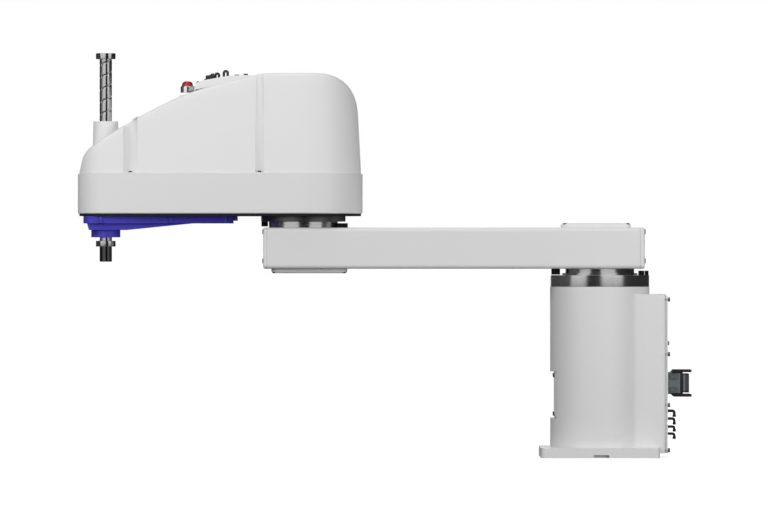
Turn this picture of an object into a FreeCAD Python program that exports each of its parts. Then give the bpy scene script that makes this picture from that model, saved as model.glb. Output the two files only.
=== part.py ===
import FreeCAD, Part

import math
import os

import Sketcher

# Four-axis floor-standing robot with two horizontal arms and a vertical tool shaft.
# Millimetres and degrees. The origin is on the first joint's axis at the underside of
# the foot, +X runs out along the stretched arm and +Z is up.

Vector = FreeCAD.Vector
Rotation = FreeCAD.Rotation

doc = FreeCAD.newDocument("scara_robot")
sheet = doc.addObject("Spreadsheet::Sheet", "Sizes")


# Sizes that carry both their present value and the expression that gives it

class Measure:
    """A size, or a sum of sizes, as a number and as an expression on the sheet."""

    def __init__(self, text, value):
        self.text = text
        self.value = value

    def combine(self, other, sign, value):
        return Measure("(%s %s %s)" % (self.text, sign, other.text), value)

    def __add__(self, other):
        other = measure(other)
        return self.combine(other, "+", self.value + other.value)

    def __radd__(self, other):
        return measure(other) + self

    def __sub__(self, other):
        other = measure(other)
        return self.combine(other, "-", self.value - other.value)

    def __rsub__(self, other):
        return measure(other) - self

    def __mul__(self, other):
        other = measure(other)
        return self.combine(other, "*", self.value * other.value)

    def __rmul__(self, other):
        return measure(other) * self

    def __truediv__(self, other):
        other = measure(other)
        return self.combine(other, "/", self.value / other.value)

    def __rtruediv__(self, other):
        return measure(other) / self

    def __neg__(self):
        return Measure("(0 - %s)" % self.text, -self.value)


def measure(number):
    """A plain number as a Measure; a Measure comes back as it is."""
    if isinstance(number, Measure):
        return number
    return Measure("(%s)" % repr(float(number)), float(number))


def root(square):
    return Measure("sqrt(%s)" % square.text, math.sqrt(square.value))


def cosine(angle):
    angle = measure(angle)
    return Measure("cos(%s * 1 deg)" % angle.text, math.cos(math.radians(angle.value)))


def sine(angle):
    angle = measure(angle)
    return Measure("sin(%s * 1 deg)" % angle.text, math.sin(math.radians(angle.value)))


sheet_rows = []


def size(alias, value):
    """Write one driving size into the sheet and give it back as a Measure."""
    row = len(sheet_rows) + 1
    sheet_rows.append(alias)
    sheet.set("A%d" % row, alias)
    sheet.set("B%d" % row, str(value))
    sheet.setAlias("B%d" % row, alias)
    return Measure("Sizes.%s" % alias, float(value))


# Fits and running gaps
seat_gap = size("seat_gap", 0.3)
run_gap = size("run_gap", 0.5)
shaft_fit = size("shaft_fit", 0.06)

# Reach and heights
arm_one_reach = size("arm_one_reach", 600)
arm_two_reach = size("arm_two_reach", 400)
column_height = size("column_height", 344)
ring_height = size("ring_height", 23.5)
output_flange_height = size("output_flange_height", 13)
arm_one_height = size("arm_one_height", 83)
lower_flange_height = size("lower_flange_height", 12)
upper_ring_height = size("upper_ring_height", 11.1)
bottom_plate_height = size("bottom_plate_height", 4.7)
arm_two_height = size("arm_two_height", 80.4)

ring_top = column_height + ring_height
arm_one_low = ring_top + output_flange_height
arm_one_top = arm_one_low + arm_one_height
lower_flange_top = arm_one_top + lower_flange_height
upper_ring_low = lower_flange_top + seat_gap
arm_two_plate_low = upper_ring_low + upper_ring_height
arm_two_low = arm_two_plate_low + bottom_plate_height
arm_two_top = arm_two_low + arm_two_height
elbow = arm_one_reach
wrist = arm_one_reach + arm_two_reach

# Foot and column
foot_front = size("foot_front", 121)
foot_rear = size("foot_rear", 118)
foot_half_width = size("foot_half_width", 120)
foot_thickness = size("foot_thickness", 20)
foot_corner = size("foot_corner", 8)
foot_bolt_spacing = size("foot_bolt_spacing", 200)
foot_bolt_hole = size("foot_bolt_hole", 7)
notch_half_width = size("notch_half_width", 15.5)
notch_height = size("notch_height", 6)
notch_depth = size("notch_depth", 8)
column_radius = size("column_radius", 100.5)
column_wall = size("column_wall", 9)
land_thickness = size("land_thickness", 14)
box_rear = size("box_rear", 132.3)
box_half_width = size("box_half_width", 73)
box_low = size("box_low", 8.5)
box_drop = size("box_drop", 15)
box_top = column_height - box_drop
box_wall = size("box_wall", 8)
box_corner = size("box_corner", 8)
box_blend = size("box_blend", 14)
recess_low = size("recess_low", 79)
recess_top = size("recess_top", 173)
recess_face = size("recess_face", 89)
cover_thickness = size("cover_thickness", 3)
front_cover_half_width = size("front_cover_half_width", 41)
plate_inset = size("plate_inset", 4)

# Fasteners
screw_head = size("screw_head", 4.25)
screw_head_height = size("screw_head_height", 2.6)
screw_shank = size("screw_shank", 2.5)
screw_length = size("screw_length", 12)
screw_socket = size("screw_socket", 2.3)
small_head = size("small_head", 3.6)
small_shank = size("small_shank", 2)
cap_screw_head = size("cap_screw_head", 3.9)
rear_head_height = size("rear_head_height", 4.5)
rear_screw_length = size("rear_screw_length", 14)
rear_screw_middle = size("rear_screw_middle", 105.9)
rear_screw_inset = size("rear_screw_inset", 10.3)
cover_screw_inset = size("cover_screw_inset", 8)
flange_bolt_head = size("flange_bolt_head", 5)
flange_bolt_height = size("flange_bolt_height", 5)
flange_bolt_shank = size("flange_bolt_shank", 3)

# Rear connectors
power_half_width = size("power_half_width", 42)
power_low = size("power_low", 127.4)
power_high = size("power_high", 171.3)
power_depth = size("power_depth", 26.2)
power_wall = size("power_wall", 4)
gasket_depth = size("gasket_depth", 4.5)
cap_depth = size("cap_depth", 13.4)
cap_inset = size("cap_inset", 3)
lever_thickness = size("lever_thickness", 5)
lever_length = size("lever_length", 35)
lever_start = size("lever_start", 14)
lever_side = size("lever_side", 2.5)
lever_pivot_depth = size("lever_pivot_depth", 9.5)
lever_pivot_inset = size("lever_pivot_inset", 9.1)
lever_pin = size("lever_pin", 2.5)
fitting_offset = size("fitting_offset", 22)
fitting_heights = [size("fitting_height_%d" % i, value)
                   for i, value in enumerate((89.3, 70.9, 55.9, 42.7))]
fitting_radii = [size("fitting_radius_%d" % i, value)
                 for i, value in enumerate((7.2, 5.6, 4.4, 5.2))]
fitting_collar = size("fitting_collar", 5)
fitting_bore_depth = size("fitting_bore_depth", 8.5)
fitting_depth = size("fitting_depth", 19.5)
signal_upper = size("signal_upper", 229.8)
signal_lower = size("signal_lower", 208.3)
signal_half_width = size("signal_half_width", 15.4)
signal_plug_half_width = size("signal_plug_half_width", 9.4)
signal_plug_half_height = size("signal_plug_half_height", 4)
signal_jack_radius = size("signal_jack_radius", 2.6)
signal_height = size("signal_height", 12.5)
signal_depth = size("signal_depth", 2.6)

# First joint: gear unit in the column's head and its motor below it
ring_radius = size("ring_radius", 100)
ring_bore = size("ring_bore", 70)
flange_radius = size("flange_radius", 69.8)
lip_radius = size("lip_radius", 76.5)
lip_height = size("lip_height", 3.5)
spigot_depth = size("spigot_depth", 17)
spline_wall = size("spline_wall", 12)
cable_bore = size("cable_bore", 14)
cup_radius = size("cup_radius", 31)
cup_wall = size("cup_wall", 1.2)
cup_flange = size("cup_flange", 3.5)
generator_long = size("generator_long", 29.2)
generator_short = size("generator_short", 28.2)
generator_height = size("generator_height", 12)
motor_half_width = size("motor_half_width", 43)
motor_length = size("motor_length", 120)
motor_flange = size("motor_flange", 8)
motor_pilot = size("motor_pilot", 30)
motor_shaft = size("motor_shaft", 7)
motor_cap_length = size("motor_cap_length", 28)
motor_screw_inset = size("motor_screw_inset", 7)
motor_pilot_height = size("motor_pilot_height", 2.5)
stop_bolt_radius = size("stop_bolt_radius", 5)
stop_bolt_height = size("stop_bolt_height", 9)
stop_bolt_circle = size("stop_bolt_circle", 90)
stop_bolt_angle = size("stop_bolt_angle", 159.5)
stop_block_near = size("stop_block_near", 80.2)
stop_block_far = size("stop_block_far", 98)
stop_block_half = size("stop_block_half", 4)
stop_block_gap = size("stop_block_gap", 1)

# First arm
arm_one_half_width = size("arm_one_half_width", 85)
arm_one_front = size("arm_one_front", 80)
arm_one_rear = size("arm_one_rear", 88.5)
end_cap_front = size("end_cap_front", 7.5)
end_cap_rear = size("end_cap_rear", 9)
arm_one_wall = size("arm_one_wall", 8)
arm_one_edge = size("arm_one_edge", 8)
top_cover_front = size("top_cover_front", 78)
top_cover_rear = size("top_cover_rear", 61)
low_cover_front = size("low_cover_front", 64)
low_cover_rear = size("low_cover_rear", 89)
arm_cover_half_width = size("arm_cover_half_width", 68)
arm_cover_height = size("arm_cover_height", 9)
arm_cover_corner = size("arm_cover_corner", 12)
arm_cover_edge = size("arm_cover_edge", 5.5)
arm_cover_skin = size("arm_cover_skin", 2.5)
arm_cover_land = size("arm_cover_land", 10)
arm_hole_step = size("arm_hole_step", 4)
cover_hole_inset = size("cover_hole_inset", 7)
end_screw_low = size("end_screw_low", 16)
end_screw_high = size("end_screw_high", 8.5)
end_screw_inset = size("end_screw_inset", 11)
end_boss_radius = size("end_boss_radius", 6.5)
end_boss_length = size("end_boss_length", 14)
end_sink_depth = size("end_sink_depth", 10)
flange_bolt_inset = size("flange_bolt_inset", 12)

# Second joint
elbow_ring_radius = size("elbow_ring_radius", 85.5)
elbow_ring_bore = size("elbow_ring_bore", 60)
elbow_spigot_radius = size("elbow_spigot_radius", 66)
elbow_spigot_rise = size("elbow_spigot_rise", 20)
elbow_cup_radius = size("elbow_cup_radius", 26)
elbow_cup_drop = size("elbow_cup_drop", 2)
elbow_cable_wall = size("elbow_cable_wall", 4)
elbow_spline_wall = size("elbow_spline_wall", 8)
elbow_generator_long = size("elbow_generator_long", 24.2)
elbow_generator_short = size("elbow_generator_short", 23.4)
elbow_motor_half_width = size("elbow_motor_half_width", 35)
elbow_motor_length = size("elbow_motor_length", 110)
elbow_motor_pilot = size("elbow_motor_pilot", 24)
elbow_motor_shaft = size("elbow_motor_shaft", 6)
lug_near = size("lug_near", 71.5)
lug_far = size("lug_far", 84.7)
lug_half = size("lug_half", 6)
lug_drop = size("lug_drop", 9.8)
post_near = size("post_near", 70)
post_far = size("post_far", 93)
post_half = size("post_half", 6)
post_height = size("post_height", 9)
post_angle = size("post_angle", 163)

# Second arm: cast tray and its moulded cover
arm_two_rear_offset = size("arm_two_rear_offset", 8)
arm_two_rear_radius = size("arm_two_rear_radius", 112)
arm_two_nose_radius = size("arm_two_nose_radius", 56.5)
arm_two_wall = size("arm_two_wall", 8)
arm_two_floor = size("arm_two_floor", 8)
arm_two_edge = size("arm_two_edge", 3)
bottom_plate_inset = size("bottom_plate_inset", 3)
cover_inset = size("cover_inset", 3)
cover_wall = size("cover_wall", 3)
cover_draft = size("cover_draft", 1.5)
cover_height = size("cover_height", 202.5)
nose_corner_x = size("nose_corner_x", 43.8)
nose_corner_height = size("nose_corner_height", 44.7)
brow_x = size("brow_x", -25.5)
brow_height = size("brow_height", 91.1)
knee_x = size("knee_x", -164.2)
knee_height = size("knee_height", 165.2)
crown_x = size("crown_x", -319)
rear_lean = size("rear_lean", 10.5)
nose_round = size("nose_round", 55)
brow_round = size("brow_round", 200)
knee_round = size("knee_round", 550)
crown_round = size("crown_round", 160)
rear_round = size("rear_round", 88)
front_channel_x = size("front_channel_x", -51.5)
front_channel_radius = size("front_channel_radius", 14.5)
rear_channel_x = size("rear_channel_x", -313)
rear_channel_radius = size("rear_channel_radius", 9)
channel_floor = size("channel_floor", 3)
sleeve_radius = size("sleeve_radius", 25)
sleeve_foot_radius = size("sleeve_foot_radius", 27)
sleeve_bore = size("sleeve_bore", 22)
sleeve_top = size("sleeve_top", 106.7)

# Tool shaft
shaft_radius = size("shaft_radius", 12.5)
shaft_bore = size("shaft_bore", 9)
shaft_length = size("shaft_length", 421.9)
shaft_tip = size("shaft_tip", 49.4)
shaft_chamfer = size("shaft_chamfer", 1)
crown_relief = size("crown_relief", 0.2)
ring_fit = size("ring_fit", 0.025)
track_radius = size("track_radius", 1.6)
track_count = 6
stop_ring_radius = size("stop_ring_radius", 20)
stop_ring_height = size("stop_ring_height", 11.7)
tool_end_length = size("tool_end_length", 30.6)

# Blue guard under the second arm
guard_front = size("guard_front", 44.5)
guard_rear = size("guard_rear", -258.5)
guard_tab = size("guard_tab", 8.5)
guard_half_width = size("guard_half_width", 45)
guard_height = size("guard_height", 14.7)
guard_tab_height = size("guard_tab_height", 9.4)
guard_wall = size("guard_wall", 2.5)
guard_boss_radius = size("guard_boss_radius", 29.5)
guard_boss_drop = size("guard_boss_drop", 42.9)
guard_wedge_drop = size("guard_wedge_drop", 28.1)
guard_wedge_front = size("guard_wedge_front", 33)
guard_wedge_mid = size("guard_wedge_mid", -41)
guard_wedge_rear = size("guard_wedge_rear", -175)
guard_wedge_half_width = size("guard_wedge_half_width", 36)
guard_corner = size("guard_corner", 22)
guard_screw_front = size("guard_screw_front", 10)
guard_screw_middle = size("guard_screw_middle", -134)
guard_screw_inset = size("guard_screw_inset", 5)
guard_screw_rear_inset = size("guard_screw_rear_inset", 9)
guard_screw_rear_half = size("guard_screw_rear_half", 30)
guard_screw_sink = size("guard_screw_sink", 8.7)

# Drive of the tool shaft
housing_radius = size("housing_radius", 26.2)
housing_wall = size("housing_wall", 2.2)
housing_drop = size("housing_drop", 38)
housing_flange = size("housing_flange", 36)
housing_flange_height = size("housing_flange_height", 5)
nut_radius = size("nut_radius", 19.5)
bearing_height = size("bearing_height", 8)
pulley_height = size("pulley_height", 18)
pulley_rim = size("pulley_rim", 1.5)
turn_pulley = size("turn_pulley", 28)
turn_motor_pulley_radius = size("turn_motor_pulley_radius", 14)
lift_pulley = size("lift_pulley", 26)
lift_motor_pulley_radius = size("lift_motor_pulley_radius", 13)
belt_thickness = size("belt_thickness", 1.4)
belt_width = size("belt_width", 12)
bracket_rise = size("bracket_rise", 40)
bracket_thickness = size("bracket_thickness", 6)
bracket_front = size("bracket_front", 38)
bracket_rear = size("bracket_rear", -68)
bracket_half_width = size("bracket_half_width", 40)
bracket_corner = size("bracket_corner", 18)
bracket_hub_height = size("bracket_hub_height", 26)
bracket_hub_wall = size("bracket_hub_wall", 3)
bracket_post_front = size("bracket_post_front", 24)
bracket_post_rear = size("bracket_post_rear", -60)
bracket_post_half = size("bracket_post_half", 34)
pulley_gap = size("pulley_gap", 2)
motor_plate_gap = size("motor_plate_gap", 3)
lift_motor_x = size("lift_motor_x", -125)
turn_motor_x = size("turn_motor_x", -215)
motor_plate_half = size("motor_plate_half", 34)
motor_plate_thickness = size("motor_plate_thickness", 6)
small_motor_half_width = size("small_motor_half_width", 28)
small_motor_length = size("small_motor_length", 62)
small_motor_pilot = size("small_motor_pilot", 18)
small_motor_shaft = size("small_motor_shaft", 4)
post_radius = size("post_radius", 4.5)

# Top of the cover: lamp, brake button, panel
lamp_x = size("lamp_x", -165.4)
lamp_radius = size("lamp_radius", 14)
lamp_ring_height = size("lamp_ring_height", 13.5)
lamp_dome_radius = size("lamp_dome_radius", 11.7)
lamp_dome_height = size("lamp_dome_height", 10)
lamp_boss_rise = size("lamp_boss_rise", 4.7)
lamp_boss_front = size("lamp_boss_front", 21.5)
lamp_boss_rear = size("lamp_boss_rear", 18)
lamp_boss_half_width = size("lamp_boss_half_width", 17)
button_x = size("button_x", -186.8)
button_radius = size("button_radius", 2.2)
button_rise = size("button_rise", 4)
button_bezel_radius = size("button_bezel_radius", 3.9)
button_bezel_rise = size("button_bezel_rise", 1.9)
button_bezel_depth = size("button_bezel_depth", 8)
button_travel = size("button_travel", 2)
panel_front = size("panel_front", -181)
panel_front_rise = size("panel_front_rise", 12.3)
panel_peak = size("panel_peak", -197)
panel_peak_rise = size("panel_peak_rise", 15.5)
panel_middle = size("panel_middle", -252)
panel_middle_rise = size("panel_middle_rise", 11.9)
panel_rear = size("panel_rear", -294)
panel_rear_rise = size("panel_rear_rise", 3)
panel_half_width = size("panel_half_width", 50)
panel_wall = size("panel_wall", 2.5)
signal_socket_front = size("signal_socket_front", -200)
signal_socket_rear = size("signal_socket_rear", -219.2)
signal_socket_half_width = size("signal_socket_half_width", 20)
signal_socket_flange = size("signal_socket_flange", 3)
signal_shell_front = size("signal_shell_front", -202.4)
signal_shell_rise = size("signal_shell_rise", 9.5)
signal_hood_front = size("signal_hood_front", -212.8)
signal_hood_rise = size("signal_hood_rise", 11.4)
signal_shell_half_width = size("signal_shell_half_width", 12)
arch_places = [size("arch_place_%d" % i, value) for i, value in enumerate((-225.7, -243))]
arch_bends = [size("arch_bend_%d" % i, value) for i, value in enumerate((3.6, 3.9))]
arch_legs = [size("arch_leg_%d" % i, value) for i, value in enumerate((6.2, 7.8))]
arch_tube = size("arch_tube", 2.65)
plug_places = [size("plug_place_%d" % i, value) for i, value in enumerate((-265.5, -283.5))]
plug_radii = [size("plug_radius_%d" % i, value) for i, value in enumerate((5, 4.2))]
plug_rises = [size("plug_rise_%d" % i, value) for i, value in enumerate((2.8, 4.2))]


# Placing and binding

def bind(obj, path, amount):
    obj.setExpression(path, measure(amount).text)


turns = {
    "Z": Rotation(),
    "-Z": Rotation(Vector(1, 0, 0), 180),
    "X": Rotation(Vector(0, 1, 0), 90),
    "-X": Rotation(Vector(0, 1, 0), -90),
    "Y": Rotation(Vector(1, 0, 0), -90),
    "-Y": Rotation(Vector(1, 0, 0), 90),
}


def place(obj, at, axis="Z", spin=0):
    """Stand an object made along +Z at a point, with its own Z along the axis given."""
    turn = turns[axis].multiply(Rotation(Vector(0, 0, 1), spin))
    obj.Placement = FreeCAD.Placement(Vector(0, 0, 0), turn)
    for letter, amount in zip("xyz", at):
        bind(obj, "Placement.Base.%s" % letter, amount)
    return obj


# Part primitives and booleans

def cylinder(name, radius, height, at=(0, 0, 0), axis="Z"):
    solid = doc.addObject("Part::Cylinder", name)
    bind(solid, "Radius", radius)
    bind(solid, "Height", height)
    return place(solid, at, axis)


def cone(name, low_radius, high_radius, height, at=(0, 0, 0), axis="Z"):
    solid = doc.addObject("Part::Cone", name)
    bind(solid, "Radius1", low_radius)
    bind(solid, "Radius2", high_radius)
    bind(solid, "Height", height)
    return place(solid, at, axis)


def block(name, low, high):
    """A box between two opposite corners."""
    solid = doc.addObject("Part::Box", name)
    for side, start, end in zip(("Length", "Width", "Height"), low, high):
        bind(solid, side, measure(end) - start)
    return place(solid, low)


def hexagon(name, circumradius, height, at, axis="Z"):
    solid = doc.addObject("Part::Prism", name)
    solid.Polygon = 6
    bind(solid, "Circumradius", circumradius)
    bind(solid, "Height", height)
    return place(solid, at, axis)


def fuse(name, *solids):
    joined = doc.addObject("Part::MultiFuse", name)
    joined.Shapes = list(solids)
    return joined


def common(name, *solids):
    shared = doc.addObject("Part::MultiCommon", name)
    shared.Shapes = list(solids)
    return shared


def cut(name, base, *tools):
    result = doc.addObject("Part::Cut", name)
    result.Base = base
    result.Tool = tools[0] if len(tools) == 1 else fuse(name + "_tools", *tools)
    return result


def group(name, *solids):
    """Several separate solids kept together as one sub-part."""
    together = doc.addObject("Part::Compound", name)
    together.Links = list(solids)
    return together


# Sketches

def fix_point(sketch, index, position, at):
    for kind, amount in zip(("DistanceX", "DistanceY"), at):
        amount = measure(amount)
        made = sketch.addConstraint(Sketcher.Constraint(kind, -1, 1, index, position, amount.value))
        sketch.setExpression("Constraints[%d]" % made, amount.text)


def fix_radius(sketch, index, radius):
    radius = measure(radius)
    made = sketch.addConstraint(Sketcher.Constraint("Radius", index, radius.value))
    sketch.setExpression("Constraints[%d]" % made, radius.text)


def draw_circle(sketch, centre, radius):
    u, v = (measure(part).value for part in centre)
    circle = Part.Circle(Vector(u, v, 0), Vector(0, 0, 1), measure(radius).value)
    index = sketch.addGeometry(circle, False)
    fix_point(sketch, index, 3, centre)
    fix_radius(sketch, index, radius)


def corner_round(before, corner, after, radius):
    """Where a rounded corner starts and ends, and the centre of its arc."""
    towards_before = (before - corner).normalize()
    towards_after = (after - corner).normalize()
    half = towards_before.getAngle(towards_after) / 2
    run = radius / math.tan(half)
    middle = (towards_before + towards_after).normalize()
    centre = corner + middle * (radius / math.sin(half))
    return corner + towards_before * run, corner + towards_after * run, centre


def draw_outline(sketch, corners):
    """Closed outline of straight runs; a corner given a radius is a tangent arc."""
    places = [Vector(measure(c[0]).value, measure(c[1]).value, 0) for c in corners]
    count = len(corners)
    starts, ends, centres = [], [], []
    for i, corner in enumerate(corners):
        if len(corner) == 3:
            radius = measure(corner[2]).value
            entry, leave, centre = corner_round(places[i - 1], places[i], places[(i + 1) % count], radius)
        else:
            entry, leave, centre = places[i], places[i], None
        ends.append(entry)
        starts.append(leave)
        centres.append(centre)
    lines = [sketch.addGeometry(Part.LineSegment(starts[i], ends[(i + 1) % count]), False)
             for i in range(count)]
    for i, corner in enumerate(corners):
        incoming, outgoing = lines[i - 1], lines[i]
        if centres[i] is None:
            sketch.addConstraint(Sketcher.Constraint("Coincident", incoming, 2, outgoing, 1))
            fix_point(sketch, outgoing, 1, corner)
            continue
        from_centre = ends[i] - centres[i]
        to_leave = starts[i] - centres[i]
        left_turn = from_centre.cross(to_leave).z > 0
        first, last = (from_centre, to_leave) if left_turn else (to_leave, from_centre)
        start_angle = math.atan2(first.y, first.x)
        end_angle = math.atan2(last.y, last.x)
        if end_angle < start_angle:
            end_angle += 2 * math.pi
        circle = Part.Circle(centres[i], Vector(0, 0, 1), measure(corner[2]).value)
        arc = sketch.addGeometry(Part.ArcOfCircle(circle, start_angle, end_angle), False)
        entry_end, leave_end = (1, 2) if left_turn else (2, 1)
        sketch.addConstraint(Sketcher.Constraint("Tangent", incoming, 2, arc, entry_end))
        sketch.addConstraint(Sketcher.Constraint("Tangent", arc, leave_end, outgoing, 1))
        fix_radius(sketch, arc, corner[2])
        point = sketch.addGeometry(Part.Point(places[i]), True)
        fix_point(sketch, point, 1, corner)
        sketch.addConstraint(Sketcher.Constraint("PointOnObject", point, 1, incoming))
        sketch.addConstraint(Sketcher.Constraint("PointOnObject", point, 1, outgoing))


def draw_tapered_slot(sketch, rear_x, rear_radius, nose_x, nose_radius):
    """Two round ends on the X axis joined by their common tangents."""
    rear, nose = measure(rear_x), measure(nose_x)
    rear_round_value = measure(rear_radius).value
    nose_round_value = measure(nose_radius).value
    lean = math.asin((rear_round_value - nose_round_value) / (nose.value - rear.value))
    meet = math.pi / 2 - lean
    up = Vector(0, 0, 1)
    rear_circle = Part.Circle(Vector(rear.value, 0, 0), up, rear_round_value)
    nose_circle = Part.Circle(Vector(nose.value, 0, 0), up, nose_round_value)
    rear_arc = sketch.addGeometry(Part.ArcOfCircle(rear_circle, meet, 2 * math.pi - meet), False)
    nose_arc = sketch.addGeometry(Part.ArcOfCircle(nose_circle, -meet, meet), False)

    def touch(circle_x, radius, side):
        return Vector(circle_x + radius * math.cos(meet), side * radius * math.sin(meet), 0)

    sides = []
    for side in (1, -1):
        run = Part.LineSegment(touch(rear.value, rear_round_value, side),
                               touch(nose.value, nose_round_value, side))
        sides.append(sketch.addGeometry(run, False))
    joints = ((rear_arc, 1, sides[0], 1), (sides[0], 2, nose_arc, 2),
              (nose_arc, 1, sides[1], 2), (sides[1], 1, rear_arc, 2))
    for joint in joints:
        sketch.addConstraint(Sketcher.Constraint("Tangent", *joint))
    fix_point(sketch, rear_arc, 3, (rear, 0))
    fix_radius(sketch, rear_arc, rear_radius)
    fix_radius(sketch, nose_arc, nose_radius)
    along = sketch.addConstraint(Sketcher.Constraint("DistanceX", -1, 1, nose_arc, 3, nose.value))
    sketch.setExpression("Constraints[%d]" % along, nose.text)
    sketch.addConstraint(Sketcher.Constraint("PointOnObject", nose_arc, 3, -1))


class Piece:
    """One sub-part modelled as a body with sketched features."""

    def __init__(self, name):
        self.body = doc.addObject("PartDesign::Body", name)
        self.name = name
        self.steps = 0

    def step_name(self, kind):
        self.steps += 1
        return "%s_%s_%d" % (self.name, kind, self.steps)

    def sketch(self, plane, level):
        made = self.body.newObject("Sketcher::SketchObject", self.step_name("sketch"))
        support = [f for f in self.body.Origin.OriginFeatures if f.Role == plane + "_Plane"][0]
        made.AttachmentSupport = (support, [""])
        made.MapMode = "FlatFace"
        bind(made, "AttachmentOffset.Base.z", level)
        return made

    def drawn(self, plane, level, shapes):
        made = self.sketch(plane, level)
        for draw, *details in shapes:
            draw(made, *details)
        return made

    def pad(self, plane, low, high, *shapes, draft=None):
        """Material between two levels along the plane's row axis."""
        low, high = measure(low), measure(high)
        level = -high if plane == "XZ" else low
        feature = self.body.newObject("PartDesign::Pad", self.step_name("pad"))
        feature.Profile = self.drawn(plane, level, shapes)
        bind(feature, "Length", high - low)
        if draft is not None:
            bind(feature, "TaperAngle", -draft)
        doc.recompute()
        return self

    def pocket(self, plane, low, high, *shapes):
        """A cut between two levels along the plane's row axis."""
        before = self.body.Shape.Volume
        low, high = measure(low), measure(high)
        level = -low if plane == "XZ" else high
        feature = self.body.newObject("PartDesign::Pocket", self.step_name("pocket"))
        feature.Profile = self.drawn(plane, level, shapes)
        bind(feature, "Length", high - low)
        doc.recompute()
        if not self.body.Shape.Volume < before:
            raise RuntimeError("%s cuts nothing" % feature.Name)
        return self

    def turn(self, corners):
        """Material turned about the body's own Z axis from (radius, height) corners."""
        feature = self.body.newObject("PartDesign::Revolution", self.step_name("turn"))
        profile = self.drawn("XZ", 0, [(draw_outline, corners)])
        feature.Profile = profile
        feature.ReferenceAxis = (profile, ["V_Axis"])
        feature.Angle = 360
        doc.recompute()
        return self

    def fillet(self, radius, wanted):
        """Round every edge of the last feature that the test picks."""
        base = self.body.Tip
        names = ["Edge%d" % (i + 1) for i, edge in enumerate(base.Shape.Edges) if wanted(edge)]
        if not names:
            raise RuntimeError("%s has no edge to round" % self.name)
        feature = self.body.newObject("PartDesign::Fillet", self.step_name("fillet"))
        feature.Base = (base, names)
        bind(feature, "Radius", radius)
        doc.recompute()
        return self


def turned(name, corners, at=(0, 0, 0), axis="Z"):
    piece = Piece(name).turn(corners)
    return place(piece.body, at, axis)


def rectangle(low_u, low_v, high_u, high_v, radius=None):
    corners = [(low_u, low_v), (high_u, low_v), (high_u, high_v), (low_u, high_v)]
    if radius is not None:
        corners = [(u, v, radius) for u, v in corners]
    return (draw_outline, corners)


def circle(centre, radius):
    return (draw_circle, centre, radius)


def slot(rear_x, rear_radius, nose_x, nose_radius):
    return (draw_tapered_slot, rear_x, rear_radius, nose_x, nose_radius)


def tube(name, outer, inner, low, high, x=0):
    """A plain ring between two heights on a vertical axis."""
    height = measure(high) - low
    body = cylinder(name + "_outer", outer, height, (x, 0, low))
    bore = cylinder(name + "_bore", inner, height + 2, (x, 0, measure(low) - 1))
    return cut(name, body, bore)


def edge_at_height(height):
    """Test for edges that lie flat at a height."""
    level = measure(height).value

    def wanted(edge):
        box = edge.BoundBox
        return abs(box.ZMin - level) < 0.01 and abs(box.ZMax - level) < 0.01
    return wanted


# Screws: a socket head on a surface, its shank below, and the hole the shank needs

def socket_screw(name, at, axis, head=screw_head, head_height=screw_head_height,
                 shank=screw_shank, length=screw_length, socket=screw_socket):
    """The axis points the way the head faces; the head sits on the point given."""
    back = turns[axis].multVec(Vector(0, 0, -1))
    shank_at = tuple(measure(part) + measure(length) * round(step) for part, step in zip(at, back))
    top_at = tuple(measure(part) - (measure(head_height) * 0.4) * round(step)
                   for part, step in zip(at, back))
    head_solid = cylinder(name + "_head", head, head_height, at, axis)
    shank_length = measure(length) + measure(head_height) / 4
    shank_solid = cylinder(name + "_shank", shank, shank_length, shank_at, axis)
    drive = hexagon(name + "_drive", socket, head_height, top_at, axis)
    return cut(name, fuse(name + "_blank", head_solid, shank_solid), drive)


def screw_hole(name, at, axis, shank=screw_shank, length=screw_length):
    """Clearance hole from just outside the seat to just past the shank's end."""
    back = turns[axis].multVec(Vector(0, 0, -1))
    start = tuple(measure(part) + (measure(length) + 1) * round(step) for part, step in zip(at, back))
    return cylinder(name, measure(shank) + seat_gap, measure(length) + 2, start, axis)


def screw_set(name, places, axis, **sizes):
    screws = [socket_screw("%s_%d" % (name, i), at, axis, **sizes) for i, at in enumerate(places)]
    hole_sizes = {key: sizes[key] for key in ("shank", "length") if key in sizes}
    holes = [screw_hole("%s_hole_%d" % (name, i), at, axis, **hole_sizes)
             for i, at in enumerate(places)]
    return screws, holes


subparts = {}


def finish(name, obj):
    """Give a finished sub-part the name its file has."""
    obj.Label = name
    subparts[name] = obj
    return obj


def corners_of(low_u, low_v, high_u, high_v):
    return [(u, v) for u in (low_u, high_u) for v in (low_v, high_v)]


def on_circle(radius, angle, centre_x=0):
    return centre_x + radius * cosine(angle), radius * sine(angle)


# Base: casting, covers and their screws

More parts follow.
